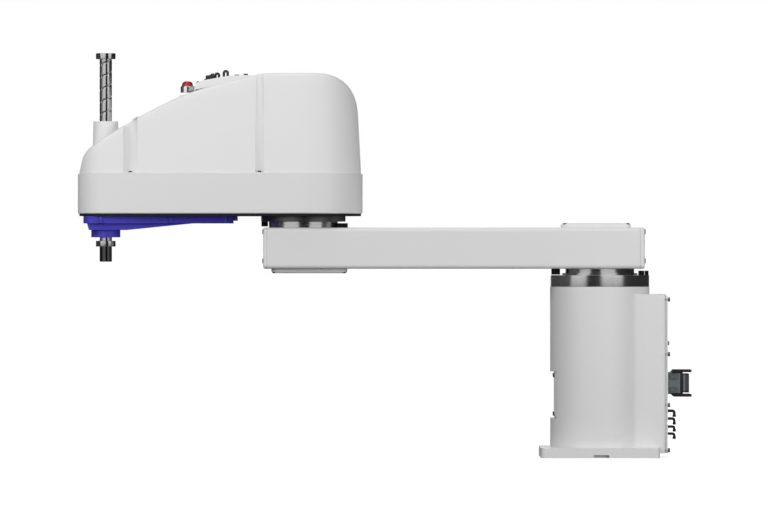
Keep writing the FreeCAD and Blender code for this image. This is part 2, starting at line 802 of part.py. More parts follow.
def build_base():
    land_low = column_height - land_thickness
    casting = Piece("base_casting_body")
    casting.pad("XY", 0, foot_thickness,
                rectangle(-foot_rear, -foot_half_width, foot_front, foot_half_width, foot_corner))
    casting.pad("XY", 0, column_height, circle((0, 0), column_radius))
    casting.pad("XY", box_low, box_top,
                rectangle(-box_rear, -box_half_width, -column_radius / 2, box_half_width))
    casting.fillet(box_corner, lambda edge: edge.BoundBox.ZLength > box_top.value * 0.8
                   and abs(edge.BoundBox.XMin + box_rear.value) < 0.01
                   and edge.BoundBox.XLength < 0.01 and edge.BoundBox.YLength < 0.01)
    meet_x = -math.sqrt(column_radius.value ** 2 - box_half_width.value ** 2)
    casting.fillet(box_blend, lambda edge: edge.BoundBox.ZLength > box_top.value * 0.8
                   and abs(edge.BoundBox.XMin - meet_x) < 0.05 and edge.BoundBox.XLength < 0.01)
    casting.pocket("XY", -1, land_low, circle((0, 0), column_radius - column_wall))
    casting.pocket("XY", land_low - 1, column_height + 1, circle((0, 0), motor_pilot + seat_gap))
    casting.pocket("XY", box_low + box_wall, box_top - box_wall,
                   rectangle(-box_rear - 1, -box_half_width + box_wall, -column_radius / 2,
                             box_half_width - box_wall))
    casting.pocket("YZ", recess_face, column_radius + 1,
                   rectangle(-column_radius, recess_low, column_radius, recess_top))
    reach = foot_bolt_spacing / 2
    holes = [circle(at, foot_bolt_hole) for at in corners_of(-reach, -reach, reach, reach)]
    casting.pocket("XY", -1, foot_thickness + 1, *holes)
    for side in (1, -1):
        outer, inner = side * (foot_half_width + 1), side * (foot_half_width - notch_depth)
        low, high = (inner, outer) if side > 0 else (outer, inner)
        casting.pocket("XY", -1, notch_height, rectangle(-notch_half_width, low, notch_half_width, high))

    inset = cover_screw_inset
    front_places = [(recess_face + cover_thickness, y, z)
                    for y, z in corners_of(-front_cover_half_width + inset, recess_low + inset,
                                           front_cover_half_width - inset, recess_top - inset)]
    front_screws, front_holes = screw_set("front_screw", front_places, "X", length=column_wall)
    rear_face = -box_rear - cover_thickness
    edge_y = box_half_width - box_wall / 2 - 2 * seat_gap
    rear_heights = (box_top - rear_screw_inset, signal_lower, rear_screw_middle,
                    box_low + rear_screw_inset - plate_inset)
    rear_places = [(rear_face, side * edge_y, z) for z in rear_heights for side in (1, -1)]
    rear_screws, rear_holes = screw_set("rear_screw", rear_places, "-X", head_height=rear_head_height,
                                        shank=small_shank, length=rear_screw_length)
    reach = motor_half_width - motor_screw_inset
    motor_places = [(x, y, land_low - motor_flange) for x, y in corners_of(-reach, -reach, reach, reach)]
    motor_holes = [screw_hole("motor_land_hole_%d" % i, at, "-Z", length=2 * motor_flange)
                   for i, at in enumerate(motor_places)]
    finish("base_casting", cut("base_casting", casting.body, *front_holes, *rear_holes, *motor_holes))

    front = Piece("base_front_cover_body")
    front.pad("YZ", recess_face, recess_face + cover_thickness,
              rectangle(-front_cover_half_width, recess_low + 1, front_cover_half_width, recess_top - 1,
                        plate_inset))
    finish("base_front_cover", cut("base_front_cover", front.body, *front_holes))

    rear = Piece("base_rear_plate_body")
    half = box_half_width - plate_inset / 2
    rear.pad("YZ", rear_face, -box_rear,
             rectangle(-half, box_low + 1, half, box_top - plate_inset, plate_inset))
    rear.pocket("YZ", rear_face - 1, -box_rear + 1,
                rectangle(-power_half_width / 2, power_low + 10, power_half_width / 2, power_high - 10))
    finish("base_rear_plate", cut("base_rear_plate", rear.body, *rear_holes))
    finish("base_cover_screws", group("base_cover_screws", *front_screws, *rear_screws))


def build_rear_connectors():
    face = -box_rear - cover_thickness
    middle = (power_low + power_high) / 2
    housing = Piece("power_housing_body")
    housing.pad("YZ", face - power_depth, face,
                rectangle(-power_half_width, power_low, power_half_width, power_high, measure(4)))
    housing.pocket("YZ", face - power_depth - 1, face - power_wall,
                   rectangle(-power_half_width + power_wall, power_low + power_wall,
                             power_half_width - power_wall, power_high - power_wall, measure(2)))
    pivot_x = face - lever_pivot_depth
    pivots = (power_high - lever_pivot_inset, power_low + lever_pivot_inset)
    pins = []
    for i, z in enumerate(pivots):
        for side, axis in ((1, "Y"), (-1, "-Y")):
            start = side * (power_half_width - 1)
            pins.append(cylinder("lever_pin_%d_%s" % (i, "near" if side > 0 else "far"), lever_pin,
                                 lever_side + 2.5, (pivot_x, start, z), axis))
    finish("power_connector_housing", fuse("power_connector_housing", housing.body, *pins))

    cap_low = face - power_depth - gasket_depth
    cap = Piece("power_connector_cap_body")
    cap.pad("YZ", cap_low, face - power_depth,
            rectangle(-power_half_width + 1, power_low + 1,
                      power_half_width - 1, power_high - 1, measure(4)))
    cap.pad("YZ", cap_low - cap_depth, cap_low,
            rectangle(-power_half_width + cap_inset, power_low + cap_inset,
                      power_half_width - cap_inset, power_high - cap_inset, measure(5)))
    cap.pocket("YZ", cap_low - cap_depth - 1, cap_low - cap_depth + 4,
               rectangle(-power_half_width + 12, middle - 8, power_half_width - 12, middle + 8, measure(3)))
    finish("power_connector_cap", cap.body)

    for name, sign, z in (("connector_lever_upper", 1, pivots[0]),
                          ("connector_lever_lower", -1, pivots[1])):
        seat = (power_high if sign > 0 else power_low) + sign * seat_gap
        outer = seat + sign * lever_thickness
        low, high = (seat, outer) if sign > 0 else (outer, seat)
        handle_near = face - lever_start
        inner_y = power_half_width + seat_gap
        outer_y = inner_y + lever_side
        outline = [(pivot_x + 5, z - 5 * sign), (pivot_x + 5, z + 5 * sign), (handle_near, outer),
                   (pivot_x - 12, outer), (pivot_x - 12, z - 5 * sign)]
        if sign < 0:
            outline.reverse()
        lever = Piece(name + "_body")
        lever.pad("XZ", -outer_y, outer_y, (draw_outline, outline))
        beyond = 20 * sign
        window = (z - beyond, z + beyond) if sign > 0 else (z + beyond, z - beyond)
        lever.pocket("XZ", -inner_y, inner_y, rectangle(pivot_x - 13, window[0], pivot_x + 6, window[1]))
        lever.pad("XZ", -outer_y, outer_y, rectangle(handle_near - lever_length, low, handle_near, high))
        lever.pocket("XZ", -outer_y - 1, outer_y + 1, circle((pivot_x, z), lever_pin + shaft_fit))
        finish(name, lever.body)

    fittings = []
    for i, (z, radius) in enumerate(zip(fitting_heights, fitting_radii)):
        neck, rim, inside = radius * 0.62, radius * 0.8, radius * 0.45
        inner_end = fitting_depth - fitting_bore_depth
        profile = [(0, 0), (neck, 0), (neck, fitting_collar), (radius, fitting_collar + 0.5),
                   (radius, fitting_depth - 4), (rim, fitting_depth - 2.5), (rim, fitting_depth),
                   (inside, fitting_depth), (inside, inner_end), (0, inner_end)]
        fittings.append(turned("base_fitting_%d" % i, profile, (face, fitting_offset, z), "-X"))
    finish("base_air_fittings", group("base_air_fittings", *fittings))

    shells = []
    for i, z in enumerate((signal_upper, signal_lower)):
        shell = Piece("signal_shell_%d" % i)
        shell.pad("YZ", face - signal_depth / 3, face,
                  rectangle(-signal_half_width, z - signal_height / 2, signal_half_width,
                            z + signal_height / 2, measure(2)))
        shell.pad("YZ", face - signal_depth * 2, face - signal_depth / 3 + 0.2,
                  rectangle(-signal_plug_half_width, z - signal_plug_half_height,
                            signal_plug_half_width, z + signal_plug_half_height, measure(2)))
        jacks = [hexagon("signal_jack_%d_%d" % (i, j), signal_jack_radius, signal_depth,
                         (face, side * (signal_half_width - signal_jack_radius - 0.4), z), "-X")
                 for j, side in enumerate((1, -1))]
        shells.append(fuse("signal_connector_%d" % i, shell.body, *jacks))
    finish("base_signal_connectors", group("base_signal_connectors", *shells))


# First joint

def motor(name, half_width, length, pilot, shaft, shaft_length, at, axis, mount_holes):
    """Square servo motor: flange at its origin, body behind it, shaft out along the axis."""
    piece = Piece(name + "_body")
    piece.pad("XY", -motor_flange, 0,
              rectangle(-half_width, -half_width, half_width, half_width, measure(3)))
    piece.pad("XY", -length, -motor_flange,
              rectangle(-half_width + 3, -half_width + 3, half_width - 3, half_width - 3, measure(9)))
    piece.pad("XY", -length - motor_cap_length, -length,
              rectangle(-half_width + 7, -half_width + 7, half_width - 7, half_width - 7, measure(9)))
    piece.pad("XY", 0, motor_pilot_height, circle((0, 0), pilot))
    piece.pad("XY", motor_pilot_height, shaft_length, circle((0, 0), shaft))
    inset = half_width - motor_screw_inset
    piece.pocket("XY", -motor_flange - 1, 1,
                 *[circle(at_hole, mount_holes) for at_hole in corners_of(-inset, -inset, inset, inset)])
    return place(piece.body, at, axis)


def wave_generator(name, long_radius, short_radius, bore, low, height, x=0):
    """Elliptical plug on the motor shaft."""
    plug = doc.addObject("Part::Ellipsoid", name + "_oval")
    bind(plug, "Radius1", long_radius * 2)
    bind(plug, "Radius2", long_radius)
    bind(plug, "Radius3", short_radius)
    place(plug, (x, 0, measure(low) + height / 2))
    slab = block(name + "_slab", (measure(x) - long_radius - 1, -long_radius - 1, low),
                 (measure(x) + long_radius + 1, long_radius + 1, measure(low) + height))
    hole = cylinder(name + "_bore", bore + seat_gap, height + 2, (x, 0, measure(low) - 1))
    return cut(name, common(name + "_plug", plug, slab), hole)


def build_first_joint():
    land_low = column_height - land_thickness
    finish("j1_bearing_ring", tube("j1_bearing_ring", ring_radius, ring_bore, column_height, ring_top))

    cup_low = column_height
    cup_top = cup_low + cup_flange + generator_height + 2
    hat = [(cup_radius - cup_wall, cup_low), (ring_bore - seat_gap, cup_low),
           (ring_bore - seat_gap, cup_low + cup_flange), (cup_radius, cup_low + cup_flange),
           (cup_radius, cup_top), (cup_radius - cup_wall, cup_top)]
    finish("j1_flexspline", turned("j1_flexspline", hat))

    generator_low = cup_low + cup_flange + 1
    finish("j1_wave_generator", wave_generator("j1_wave_generator", generator_long, generator_short,
                                               motor_shaft, generator_low, generator_height))

    finish("j1_motor", motor("j1_motor", motor_half_width, motor_length, motor_pilot, motor_shaft,
                             land_thickness + cup_flange + generator_height, (0, 0, land_low), "Z",
                             screw_shank + seat_gap))

    spigot_low = ring_top - spigot_depth
    spigot = ring_bore - run_gap
    spline_outer = spigot - spline_wall
    lip_low = ring_top + run_gap
    flange = [(cable_bore, cup_top + 1.5), (spline_outer, cup_top + 1.5), (spline_outer, spigot_low),
              (spigot, spigot_low), (spigot, lip_low), (lip_radius, lip_low),
              (lip_radius, lip_low + lip_height), (flange_radius, lip_low + lip_height),
              (flange_radius, arm_one_low), (cable_bore, arm_one_low)]
    finish("j1_output_flange", turned("j1_output_flange", flange))
    finish("j1_circular_spline", tube("j1_circular_spline", spline_outer - seat_gap, cup_radius + seat_gap,
                                      spigot_low + 0.5, cup_top + 1.5))

    stops = []
    places = [on_circle(stop_bolt_circle, stop_bolt_angle), on_circle(stop_bolt_circle, -stop_bolt_angle),
              on_circle(stop_bolt_circle + 5, 180)]
    for i, (x, y) in enumerate(places):
        head = cylinder("j1_stop_head_%d" % i, stop_bolt_radius - (1 if i == 2 else 0), stop_bolt_height,
                        (x, y, ring_top))
        drive = hexagon("j1_stop_drive_%d" % i, screw_socket, 4, (x, y, ring_top + stop_bolt_height - 3))
        stops.append(cut("j1_stop_bolt_%d" % i, head, drive))
    finish("j1_stop_bolts", group("j1_stop_bolts", *stops))

    hang = arm_one_low - ring_top - stop_block_gap
    stop = Piece("j1_stop_block_body")
    stop.pad("XY", arm_one_low - hang, arm_one_low,
             rectangle(stop_block_near, -stop_block_half, stop_block_far, stop_block_half, measure(1.5)))
    finish("j1_stop_block", stop.body)


# First arm

def arm_cover(name, rear_x, front_x, seat, upward):
    """Shallow domed lid; upward says which side of its seat it stands on."""
    sign = 1 if upward else -1
    outer = seat + sign * arm_cover_height
    low, high = (seat, outer) if upward else (outer, seat)
    lid = Piece(name + "_body")
    lid.pad("XY", low, high, rectangle(rear_x, -arm_cover_half_width, front_x, arm_cover_half_width,
                                       arm_cover_corner))
    lid.fillet(arm_cover_edge, edge_at_height(outer))
    inner = outer - sign * arm_cover_skin
    inner_low, inner_high = (seat - 1, inner) if upward else (inner, seat + 1)
    rim = arm_cover_land
    if upward:
        lid.pocket("XY", inner_low, inner_high,
                   rectangle(rear_x + rim, -arm_cover_half_width + rim, front_x - rim,
                             arm_cover_half_width - rim))
        hollow = lid.body
    else:
        core = block(name + "_core", (rear_x + rim, -arm_cover_half_width + rim, inner_low),
                     (front_x - rim, arm_cover_half_width - rim, inner_high))
        hollow = cut(name + "_hollow", lid.body, core)
    head_seat = outer - sign * screw_head_height
    inset = cover_hole_inset
    places = [(x, y, head_seat) for x, y in
              corners_of(rear_x + inset, -arm_cover_half_width + inset, front_x - inset,
                         arm_cover_half_width - inset)]
    axis = "Z" if upward else "-Z"
    screws, holes = screw_set(name + "_screw", places, axis, length=arm_cover_height + arm_one_wall - 5)
    sinks = [cylinder("%s_sink_%d" % (name, i), screw_head + seat_gap, screw_head_height + 1, at, axis)
             for i, at in enumerate(places)]
    return hollow, screws, holes, sinks


def build_first_arm():
    casting_rear = -arm_one_rear + end_cap_rear
    casting_front = arm_one_reach + arm_one_front - end_cap_front
    half = arm_one_half_width
    top_rear, top_front = -top_cover_rear, top_cover_front
    low_rear, low_front = elbow - low_cover_rear, elbow + low_cover_front
    window = arm_cover_land + arm_hole_step
    window_half = arm_cover_half_width - window

    casting = Piece("arm_one_casting_body")
    casting.pad("YZ", casting_rear, casting_front,
                rectangle(-half, arm_one_low, half, arm_one_top, arm_one_edge))
    casting.pocket("YZ", casting_rear - 1, casting_front + 1,
                   rectangle(-half + arm_one_wall, arm_one_low + arm_one_wall,
                             half - arm_one_wall, arm_one_top - arm_one_wall, measure(4)))
    casting.pocket("XY", arm_one_top - arm_one_wall - 1, arm_one_top + 1,
                   rectangle(top_rear + window, -window_half, top_front - window, window_half, measure(6)))
    casting.pocket("XY", arm_one_low - 1, arm_one_low + arm_one_wall + 1,
                   rectangle(low_rear + window, -window_half, low_front - window, window_half, measure(6)))
    casting.pocket("XY", arm_one_low - 1, arm_one_low + arm_one_wall + 1, circle((0, 0), cable_bore))
    casting.pocket("XY", arm_one_top - arm_one_wall - 1, arm_one_top + 1,
                   circle((elbow, 0), cable_bore + 6))

    top_lid, top_screws, top_holes, top_sinks = arm_cover("arm_one_top_cover", top_rear, top_front,
                                                          arm_one_top, True)
    low_lid, low_screws, low_holes, low_sinks = arm_cover("arm_one_bottom_cover", low_rear, low_front,
                                                          arm_one_low, False)

    end_screws, end_holes, caps = [], [], []
    end_heights = (arm_one_low + end_screw_low, arm_one_top - end_screw_high)
    end_y = half - end_screw_inset
    for name, near, far, axis in (("arm_one_front_cap", casting_front, elbow + arm_one_front, "X"),
                                  ("arm_one_rear_cap", -arm_one_rear, casting_rear, "-X")):
        low, high = near, far
        plate = Piece(name + "_body")
        plate.pad("YZ", low, high, rectangle(-half, arm_one_low, half, arm_one_top, arm_one_edge))
        face = far if axis == "X" else near
        plate.fillet(measure(4), lambda edge, level=measure(face).value:
                     abs(edge.BoundBox.XMin - level) < 0.01 and abs(edge.BoundBox.XMax - level) < 0.01)
        seat = face - screw_head_height * (0.5 if axis == "X" else -0.5)
        places = [(seat, side * end_y, z) for z in end_heights for side in (1, -1)]
        screws, holes = screw_set(name + "_screw", places, axis, head=cap_screw_head)
        sinks = [cylinder("%s_sink_%d" % (name, i), cap_screw_head + seat_gap, end_sink_depth, at, axis)
                 for i, at in enumerate(places)]
        end_screws += screws
        end_holes += holes
        caps.append((name, plate.body, holes, sinks))

    bosses = []
    for i, x_low in enumerate((casting_front - end_boss_length, casting_rear)):
        for j, z in enumerate(end_heights):
            for side in (1, -1):
                bosses.append(cylinder("end_boss_%d_%d_%s" % (i, j, "near" if side > 0 else "far"),
                                       end_boss_radius, end_boss_length, (x_low, side * end_y, z), "X"))
    shell = fuse("arm_one_shell", casting.body, *bosses)
    trim = Piece("arm_one_outline")
    trim.pad("YZ", casting_rear, casting_front,
             rectangle(-half, arm_one_low, half, arm_one_top, arm_one_edge))
    trimmed = common("arm_one_trimmed", shell, trim.body)
    bolts = []
    for label, centre_x, z, axis in (("j1", 0, arm_one_low + arm_one_wall, "Z"),
                                     ("j2", elbow, arm_one_top - arm_one_wall, "-Z")):
        circle_places = [on_circle(flange_radius - flange_bolt_inset, 30 + 60 * i, centre_x)
                         for i in range(6)]
        bolts.append(screw_set(label + "_flange_bolt", [(x, y, z) for x, y in circle_places], axis,
                               head=flange_bolt_head, head_height=flange_bolt_height,
                               shank=flange_bolt_shank, length=arm_one_wall + lower_flange_height / 2))
    (j1_bolts, j1_holes), (j2_bolts, j2_holes) = bolts
    finish("arm_one_casting", cut("arm_one_casting", trimmed, *end_holes, *top_holes, *low_holes,
                                  *j1_holes, *j2_holes))
    for name, plate, holes, sinks in caps:
        finish(name, cut(name, plate, *holes, *sinks))
    finish("arm_one_top_cover", cut("arm_one_top_cover", top_lid, *top_holes, *top_sinks))
    finish("arm_one_bottom_cover", cut("arm_one_bottom_cover", low_lid, *low_holes, *low_sinks))
    finish("arm_one_fasteners", group("arm_one_fasteners", *end_screws, *top_screws, *low_screws,
                                      *j1_bolts, *j2_bolts))
    flange = subparts["j1_output_flange"]
    flange.Label = "j1_output_flange_blank"
    finish("j1_output_flange", cut("j1_output_flange_drilled", flange, *j1_holes))
    return j2_holes


# Second joint

def build_second_joint(flange_holes):
    ring_spigot_top = arm_two_plate_low + elbow_spigot_rise
    spigot = elbow_ring_bore - run_gap
    cup_top = ring_spigot_top
    cup_low = arm_two_plate_low - elbow_cup_drop
    spline_top = cup_low + generator_height + 2
    spline_low = lower_flange_top - 1
    cable_way = elbow_cup_radius + elbow_cable_wall
    spline_outer = spigot - elbow_spline_wall
    lower = [(cable_way, arm_one_top), (flange_radius, arm_one_top),
             (flange_radius, lower_flange_top), (spigot, lower_flange_top), (spigot, spline_top + 2),
             (spline_outer, spline_top + 2), (spline_outer, spline_low), (cable_way, spline_low)]
    blank = turned("j2_lower_flange_blank", lower, (elbow, 0, 0))
    finish("j2_lower_flange", cut("j2_lower_flange", blank, *flange_holes))
    finish("j2_circular_spline", tube("j2_circular_spline", spline_outer - seat_gap,
                                      elbow_cup_radius + seat_gap, spline_low, spline_top, elbow))

    ring = [(elbow_ring_bore, upper_ring_low), (elbow_ring_radius, upper_ring_low),
            (elbow_ring_radius, arm_two_plate_low), (elbow_spigot_radius, arm_two_plate_low),
            (elbow_spigot_radius, ring_spigot_top), (elbow_ring_bore, ring_spigot_top)]
    finish("j2_upper_ring", turned("j2_upper_ring", ring, (elbow, 0, 0)))
    hat = [(elbow_cup_radius - cup_wall, cup_low), (elbow_cup_radius, cup_low),
           (elbow_cup_radius, cup_top), (elbow_spigot_radius, cup_top),
           (elbow_spigot_radius, cup_top + cup_flange), (elbow_cup_radius - cup_wall, cup_top + cup_flange)]
    finish("j2_flexspline", turned("j2_flexspline", hat, (elbow, 0, 0)))
    finish("j2_wave_generator", wave_generator("j2_wave_generator", elbow_generator_long,
                                               elbow_generator_short, elbow_motor_shaft,
                                               cup_low + 1, generator_height, elbow))
    motor_seat = cup_top + cup_flange
    finish("j2_motor", motor("j2_motor", elbow_motor_half_width, elbow_motor_length,
                             elbow_motor_pilot, elbow_motor_shaft, motor_seat - cup_low - 2,
                             (elbow, 0, motor_seat), "-Z", screw_shank + seat_gap))

    lug = Piece("j2_stop_lug_body")
    lug.pad("XY", upper_ring_low - lug_drop, upper_ring_low,
            rectangle(elbow + lug_near, -lug_half, elbow + lug_far, lug_half, measure(1.5)))
    finish("j2_stop_lug", lug.body)

    posts = []
    for i, side in enumerate((1, -1)):
        post = Piece("j2_stop_post_%d" % i)
        post.pad("XY", 0, post_height, rectangle(post_near, -post_half, post_far, post_half, measure(2)))
        posts.append(place(post.body, (elbow, 0, arm_one_top), "Z", side * post_angle.value))
        bind(post.body, "Placement.Rotation.Angle", post_angle)
    finish("j2_stop_posts", group("j2_stop_posts", *posts))


# Second arm

def side_half_width(x, inset):
    """Half width of the second arm's straight side at x, given by the two end rounds."""
    span = arm_two_reach + arm_two_rear_offset
    slope = (arm_two_rear_radius - arm_two_nose_radius) / span
    lean = root(1 - slope * slope)
    from_rear = x - (elbow - arm_two_rear_offset)
    return (arm_two_rear_radius - from_rear * slope) / lean - inset


def arm_slot(inset):
    return slot(elbow - arm_two_rear_offset, arm_two_rear_radius - inset,
                wrist, arm_two_nose_radius - inset)


def cover_profile(inset, drop):
    """Side view of the cover above its seat; inset and drop give the inner face."""
    seat = arm_two_top
    rear = elbow - arm_two_rear_offset - arm_two_rear_radius + cover_inset
    crown = seat + cover_height - drop
    return [
        (wrist + nose_corner_x - inset, seat + nose_corner_height - drop, nose_round),
        (wrist + brow_x, seat + brow_height - drop, brow_round),
        (wrist + knee_x, seat + knee_height - drop, knee_round),
        (wrist + crown_x, crown, crown_round),
        (rear + rear_lean + inset, crown, rear_round),
    ]


def profile_solid(name, inset, drop, low):
    """Everything under the cover's side view, wider than the arm."""
    corners = cover_profile(inset, drop)
    front = wrist + arm_two_nose_radius - cover_inset - inset
    rear = elbow - arm_two_rear_offset - arm_two_rear_radius + cover_inset + inset
    piece = Piece(name)
    piece.pad("XZ", -arm_two_rear_radius - 10, arm_two_rear_radius + 10,
              (draw_outline, [(front, low)] + corners + [(rear, low)]))
    return piece.body


def top_height(x):
    """Height of the cover's upper slope, between its knee and its crown."""
    rise = (cover_height - knee_height) / (knee_x - crown_x)
    return arm_two_top + knee_height + (knee_x - x) * rise


def build_arm_two_cover():
    outer_block = Piece("cover_outer_block")
    outer_block.pad("XY", arm_two_top, arm_two_top + cover_height + 10, arm_slot(cover_inset),
                    draft=cover_draft)
    outer = common("cover_outer", outer_block.body, profile_solid("cover_outer_profile", 0, 0, arm_two_top))
    inner_block = Piece("cover_inner_block")
    inner_block.pad("XY", arm_two_top - 1, arm_two_top + cover_height + 10,
                    arm_slot(cover_inset + cover_wall), draft=cover_draft)
    inner = common("cover_inner", inner_block.body,
                   profile_solid("cover_inner_profile", cover_wall, cover_wall * 1.2, arm_two_top - 1))

    channels, sleeves, places = [], [], []
    for label, x, radius in (("front", wrist + front_channel_x, front_channel_radius),
                             ("rear", wrist + rear_channel_x, rear_channel_radius)):
        for side in (1, -1):
            y = side * side_half_width(x, cover_inset)
            name = "%s_channel_%s" % (label, "near" if side > 0 else "far")
            channels.append(cylinder(name, radius, cover_height, (x, y, arm_two_top + channel_floor)))
            sleeves.append(cylinder(name + "_wall", radius + cover_wall, cover_height + 2,
                                    (x, y, arm_two_top - 1)))
            seat_y = side * side_half_width(x, arm_two_wall - 0.5)
            places.append((x, seat_y, arm_two_top + channel_floor))
    screws, holes = screw_set("cover_screw", places, "Z", length=channel_floor + rear_screw_length,
                              shank=small_shank, head=small_head)

    ledge_low = arm_two_top + knee_height - 40
    boss_top = arm_two_top + knee_height + lamp_boss_rise
    lamp_boss = Piece("lamp_boss_body")
    lamp_boss.pad("XZ", -lamp_boss_half_width, lamp_boss_half_width,
                  (draw_outline, [(wrist + lamp_x + lamp_boss_front, ledge_low),
                                  (wrist + lamp_x + lamp_boss_front, boss_top - 16),
                                  (wrist + lamp_x + lamp_boss_front - 7, boss_top - 5),
                                  (wrist + lamp_x - lamp_boss_rear, boss_top - 5),
                                  (wrist + lamp_x - lamp_boss_rear, ledge_low)]))
    sleeve_low = arm_two_top + 30
    collar = cone("shaft_sleeve", sleeve_foot_radius, sleeve_radius, arm_two_top + sleeve_top - sleeve_low,
                  (wrist, 0, sleeve_low))
    sleeve_hole = cylinder("shaft_sleeve_bore", sleeve_bore, sleeve_top + 10, (wrist, 0, arm_two_top - 1))
    walls = cut("cover_cavity", inner, *sleeves)
    solid = fuse("cover_solid", cut("cover_channelled", outer, *channels), collar, lamp_boss.body)
    lamp_hole = cylinder("lamp_hole", lamp_radius - 6, 60, (wrist + lamp_x, 0, boss_top - 50))
    lamp_seat = cylinder("lamp_seat", lamp_radius + seat_gap, 30, (wrist + lamp_x, 0, boss_top - 5))
    finish("arm_two_cover", cut("arm_two_cover", solid, walls, sleeve_hole, lamp_hole, lamp_seat, *holes))
    return screws, holes


def build_second_arm():
    plate_level = arm_two_plate_low
    floor_top = arm_two_low + arm_two_floor
    cover_screws, cover_holes = build_arm_two_cover()

    plate = Piece("arm_two_bottom_plate_body")
    plate.pad("XY", plate_level, arm_two_low, arm_slot(bottom_plate_inset))
    plate.pocket("XY", plate_level - 1, arm_two_low + 1, circle((elbow, 0), elbow_spigot_radius + seat_gap),
                 circle((wrist, 0), housing_radius + seat_gap))

    tray = Piece("arm_two_casting_body")
    tray.pad("XY", arm_two_low, arm_two_top, arm_slot(0))
    tray.fillet(arm_two_edge, edge_at_height(arm_two_low))
    tray.pocket("XY", floor_top, arm_two_top + 1, arm_slot(arm_two_wall))
    tray.pocket("XY", arm_two_low - 1, floor_top + 1,
                circle((elbow, 0), elbow_spigot_radius + seat_gap),
                circle((wrist, 0), housing_radius + seat_gap))

    guard_low = plate_level - guard_height
    boss_low = plate_level - guard_boss_drop
    side_y = guard_half_width - guard_screw_inset
    guard_spots = [(x, side * y) for x, y in ((guard_screw_front, side_y), (guard_screw_middle, side_y),
                                              (guard_rear + guard_screw_rear_inset, guard_screw_rear_half))
                   for side in (1, -1)]
    guard_places = [(wrist + x, y, plate_level - guard_screw_sink) for x, y in guard_spots]
    guard_screws, guard_holes = screw_set("guard_screw", guard_places, "-Z", shank=small_shank,
                                          length=guard_height, head=small_head)
    finish("arm_two_bottom_plate", cut("arm_two_bottom_plate", plate.body, *guard_holes))
    finish("arm_two_casting", cut("arm_two_casting", tray.body, *cover_holes, *guard_holes))
    finish("arm_two_screws", group("arm_two_screws", *cover_screws, *guard_screws))

    guard = Piece("shaft_guard_body")
    guard.pad("XY", guard_low, plate_level,
              rectangle(wrist + guard_rear, -guard_half_width, wrist + guard_front, guard_half_width,
                        guard_corner))
    guard.pad("XY", plate_level - guard_tab_height, plate_level,
              rectangle(wrist + guard_rear - guard_tab, -guard_half_width / 2, wrist + guard_rear + 5,
                        guard_half_width / 2, measure(5)))
    guard.pad("XZ", -guard_wedge_half_width, guard_wedge_half_width,
              (draw_outline, [(wrist + guard_wedge_front + 4, guard_low + 1),
                              (wrist + guard_wedge_rear, guard_low + 1),
                              (wrist + guard_wedge_rear, guard_low),
                              (wrist + guard_wedge_mid, plate_level - guard_wedge_drop),
                              (wrist + guard_wedge_front, plate_level - guard_wedge_drop)]))
    guard.pad("XY", boss_low, plate_level - 1, circle((wrist, 0), guard_boss_radius))
    guard.pocket("XY", guard_low + guard_wall, plate_level + 1,
                 rectangle(wrist + guard_rear + 18, -guard_wedge_half_width + guard_wall, wrist + 20,
                           guard_wedge_half_width - guard_wall, measure(8)))
    guard.pocket("XY", boss_low + guard_wall, plate_level + 1,
                 circle((wrist, 0), guard_boss_radius - guard_wall))
    guard.pocket("XY", boss_low - 1, boss_low + guard_wall + 1, circle((wrist, 0), nut_radius - 2))
    sinks = [cylinder("guard_sink_%d" % i, small_head + seat_gap, guard_height, at, "-Z")
             for i, at in enumerate(guard_places)]
    finish("shaft_guard", cut("shaft_guard", guard.body, *guard_holes, *sinks))


# Tool shaft and its drive

def build_shaft():
    tip = arm_two_plate_low - guard_boss_drop - shaft_tip
    top = tip + shaft_length
    crown = shaft_radius - crown_relief
    rod = turned("shaft_blank", [(shaft_bore, tip), (shaft_radius - shaft_chamfer, tip),
                                 (shaft_radius, tip + shaft_chamfer), (shaft_radius, tip + tool_end_length),
                                 (crown, tip + tool_end_length), (crown, top - shaft_chamfer),
                                 (crown - shaft_chamfer, top), (shaft_bore, top)], (wrist, 0, 0))
    tracks = []
    for i in range(track_count):
        x, y = on_circle(shaft_radius + 0.4, 97 + 360 / track_count * i, wrist)
        tracks.append(cylinder("shaft_track_%d" % i, track_radius, shaft_length - tool_end_length,
                               (x, y, tip + tool_end_length)))
    finish("tool_shaft", cut("tool_shaft", rod, *tracks))
    rings = []
    for i, low in enumerate((tip + tool_end_length, top - stop_ring_height)):
        ring = tube("stop_ring_%d_blank" % i, stop_ring_radius, crown + ring_fit, low,
                    low + stop_ring_height, wrist)
        slit = block("stop_ring_%d_slit" % i, (wrist + shaft_radius - 2, -0.8, low - 1),
                     (wrist + stop_ring_radius + 1, 0.8, low + stop_ring_height + 1))
        rings.append(cut("stop_ring_%d" % i, ring, slit))
    finish("shaft_stop_rings", group("shaft_stop_rings", *rings))


def pulley(name, radius, bore, low, height, x, y=0):
    """Flat-faced belt pulley with a rim at each side of its belt."""
    rim = pulley_rim
    corners = [(bore, 0), (radius + rim, 0), (radius + rim, rim), (radius, rim),
               (radius, measure(height) - rim), (radius + rim, measure(height) - rim),
               (radius + rim, height), (bore, height)]
    return turned(name, corners, (x, y, low))


def belt(name, first_x, first_radius, second_x, second_radius, low):
    """Closed belt round two pulleys; the larger pulley is the one with the greater x."""
    piece = Piece(name + "_outer")
    piece.pad("XY", low, low + belt_width,
              slot(second_x, second_radius + belt_thickness, first_x, first_radius + belt_thickness))
    inner = Piece(name + "_inner")
    inner.pad("XY", low - 1, low + belt_width + 1,
              slot(second_x, second_radius, first_x, first_radius))
    return cut(name, piece.body, inner.body)


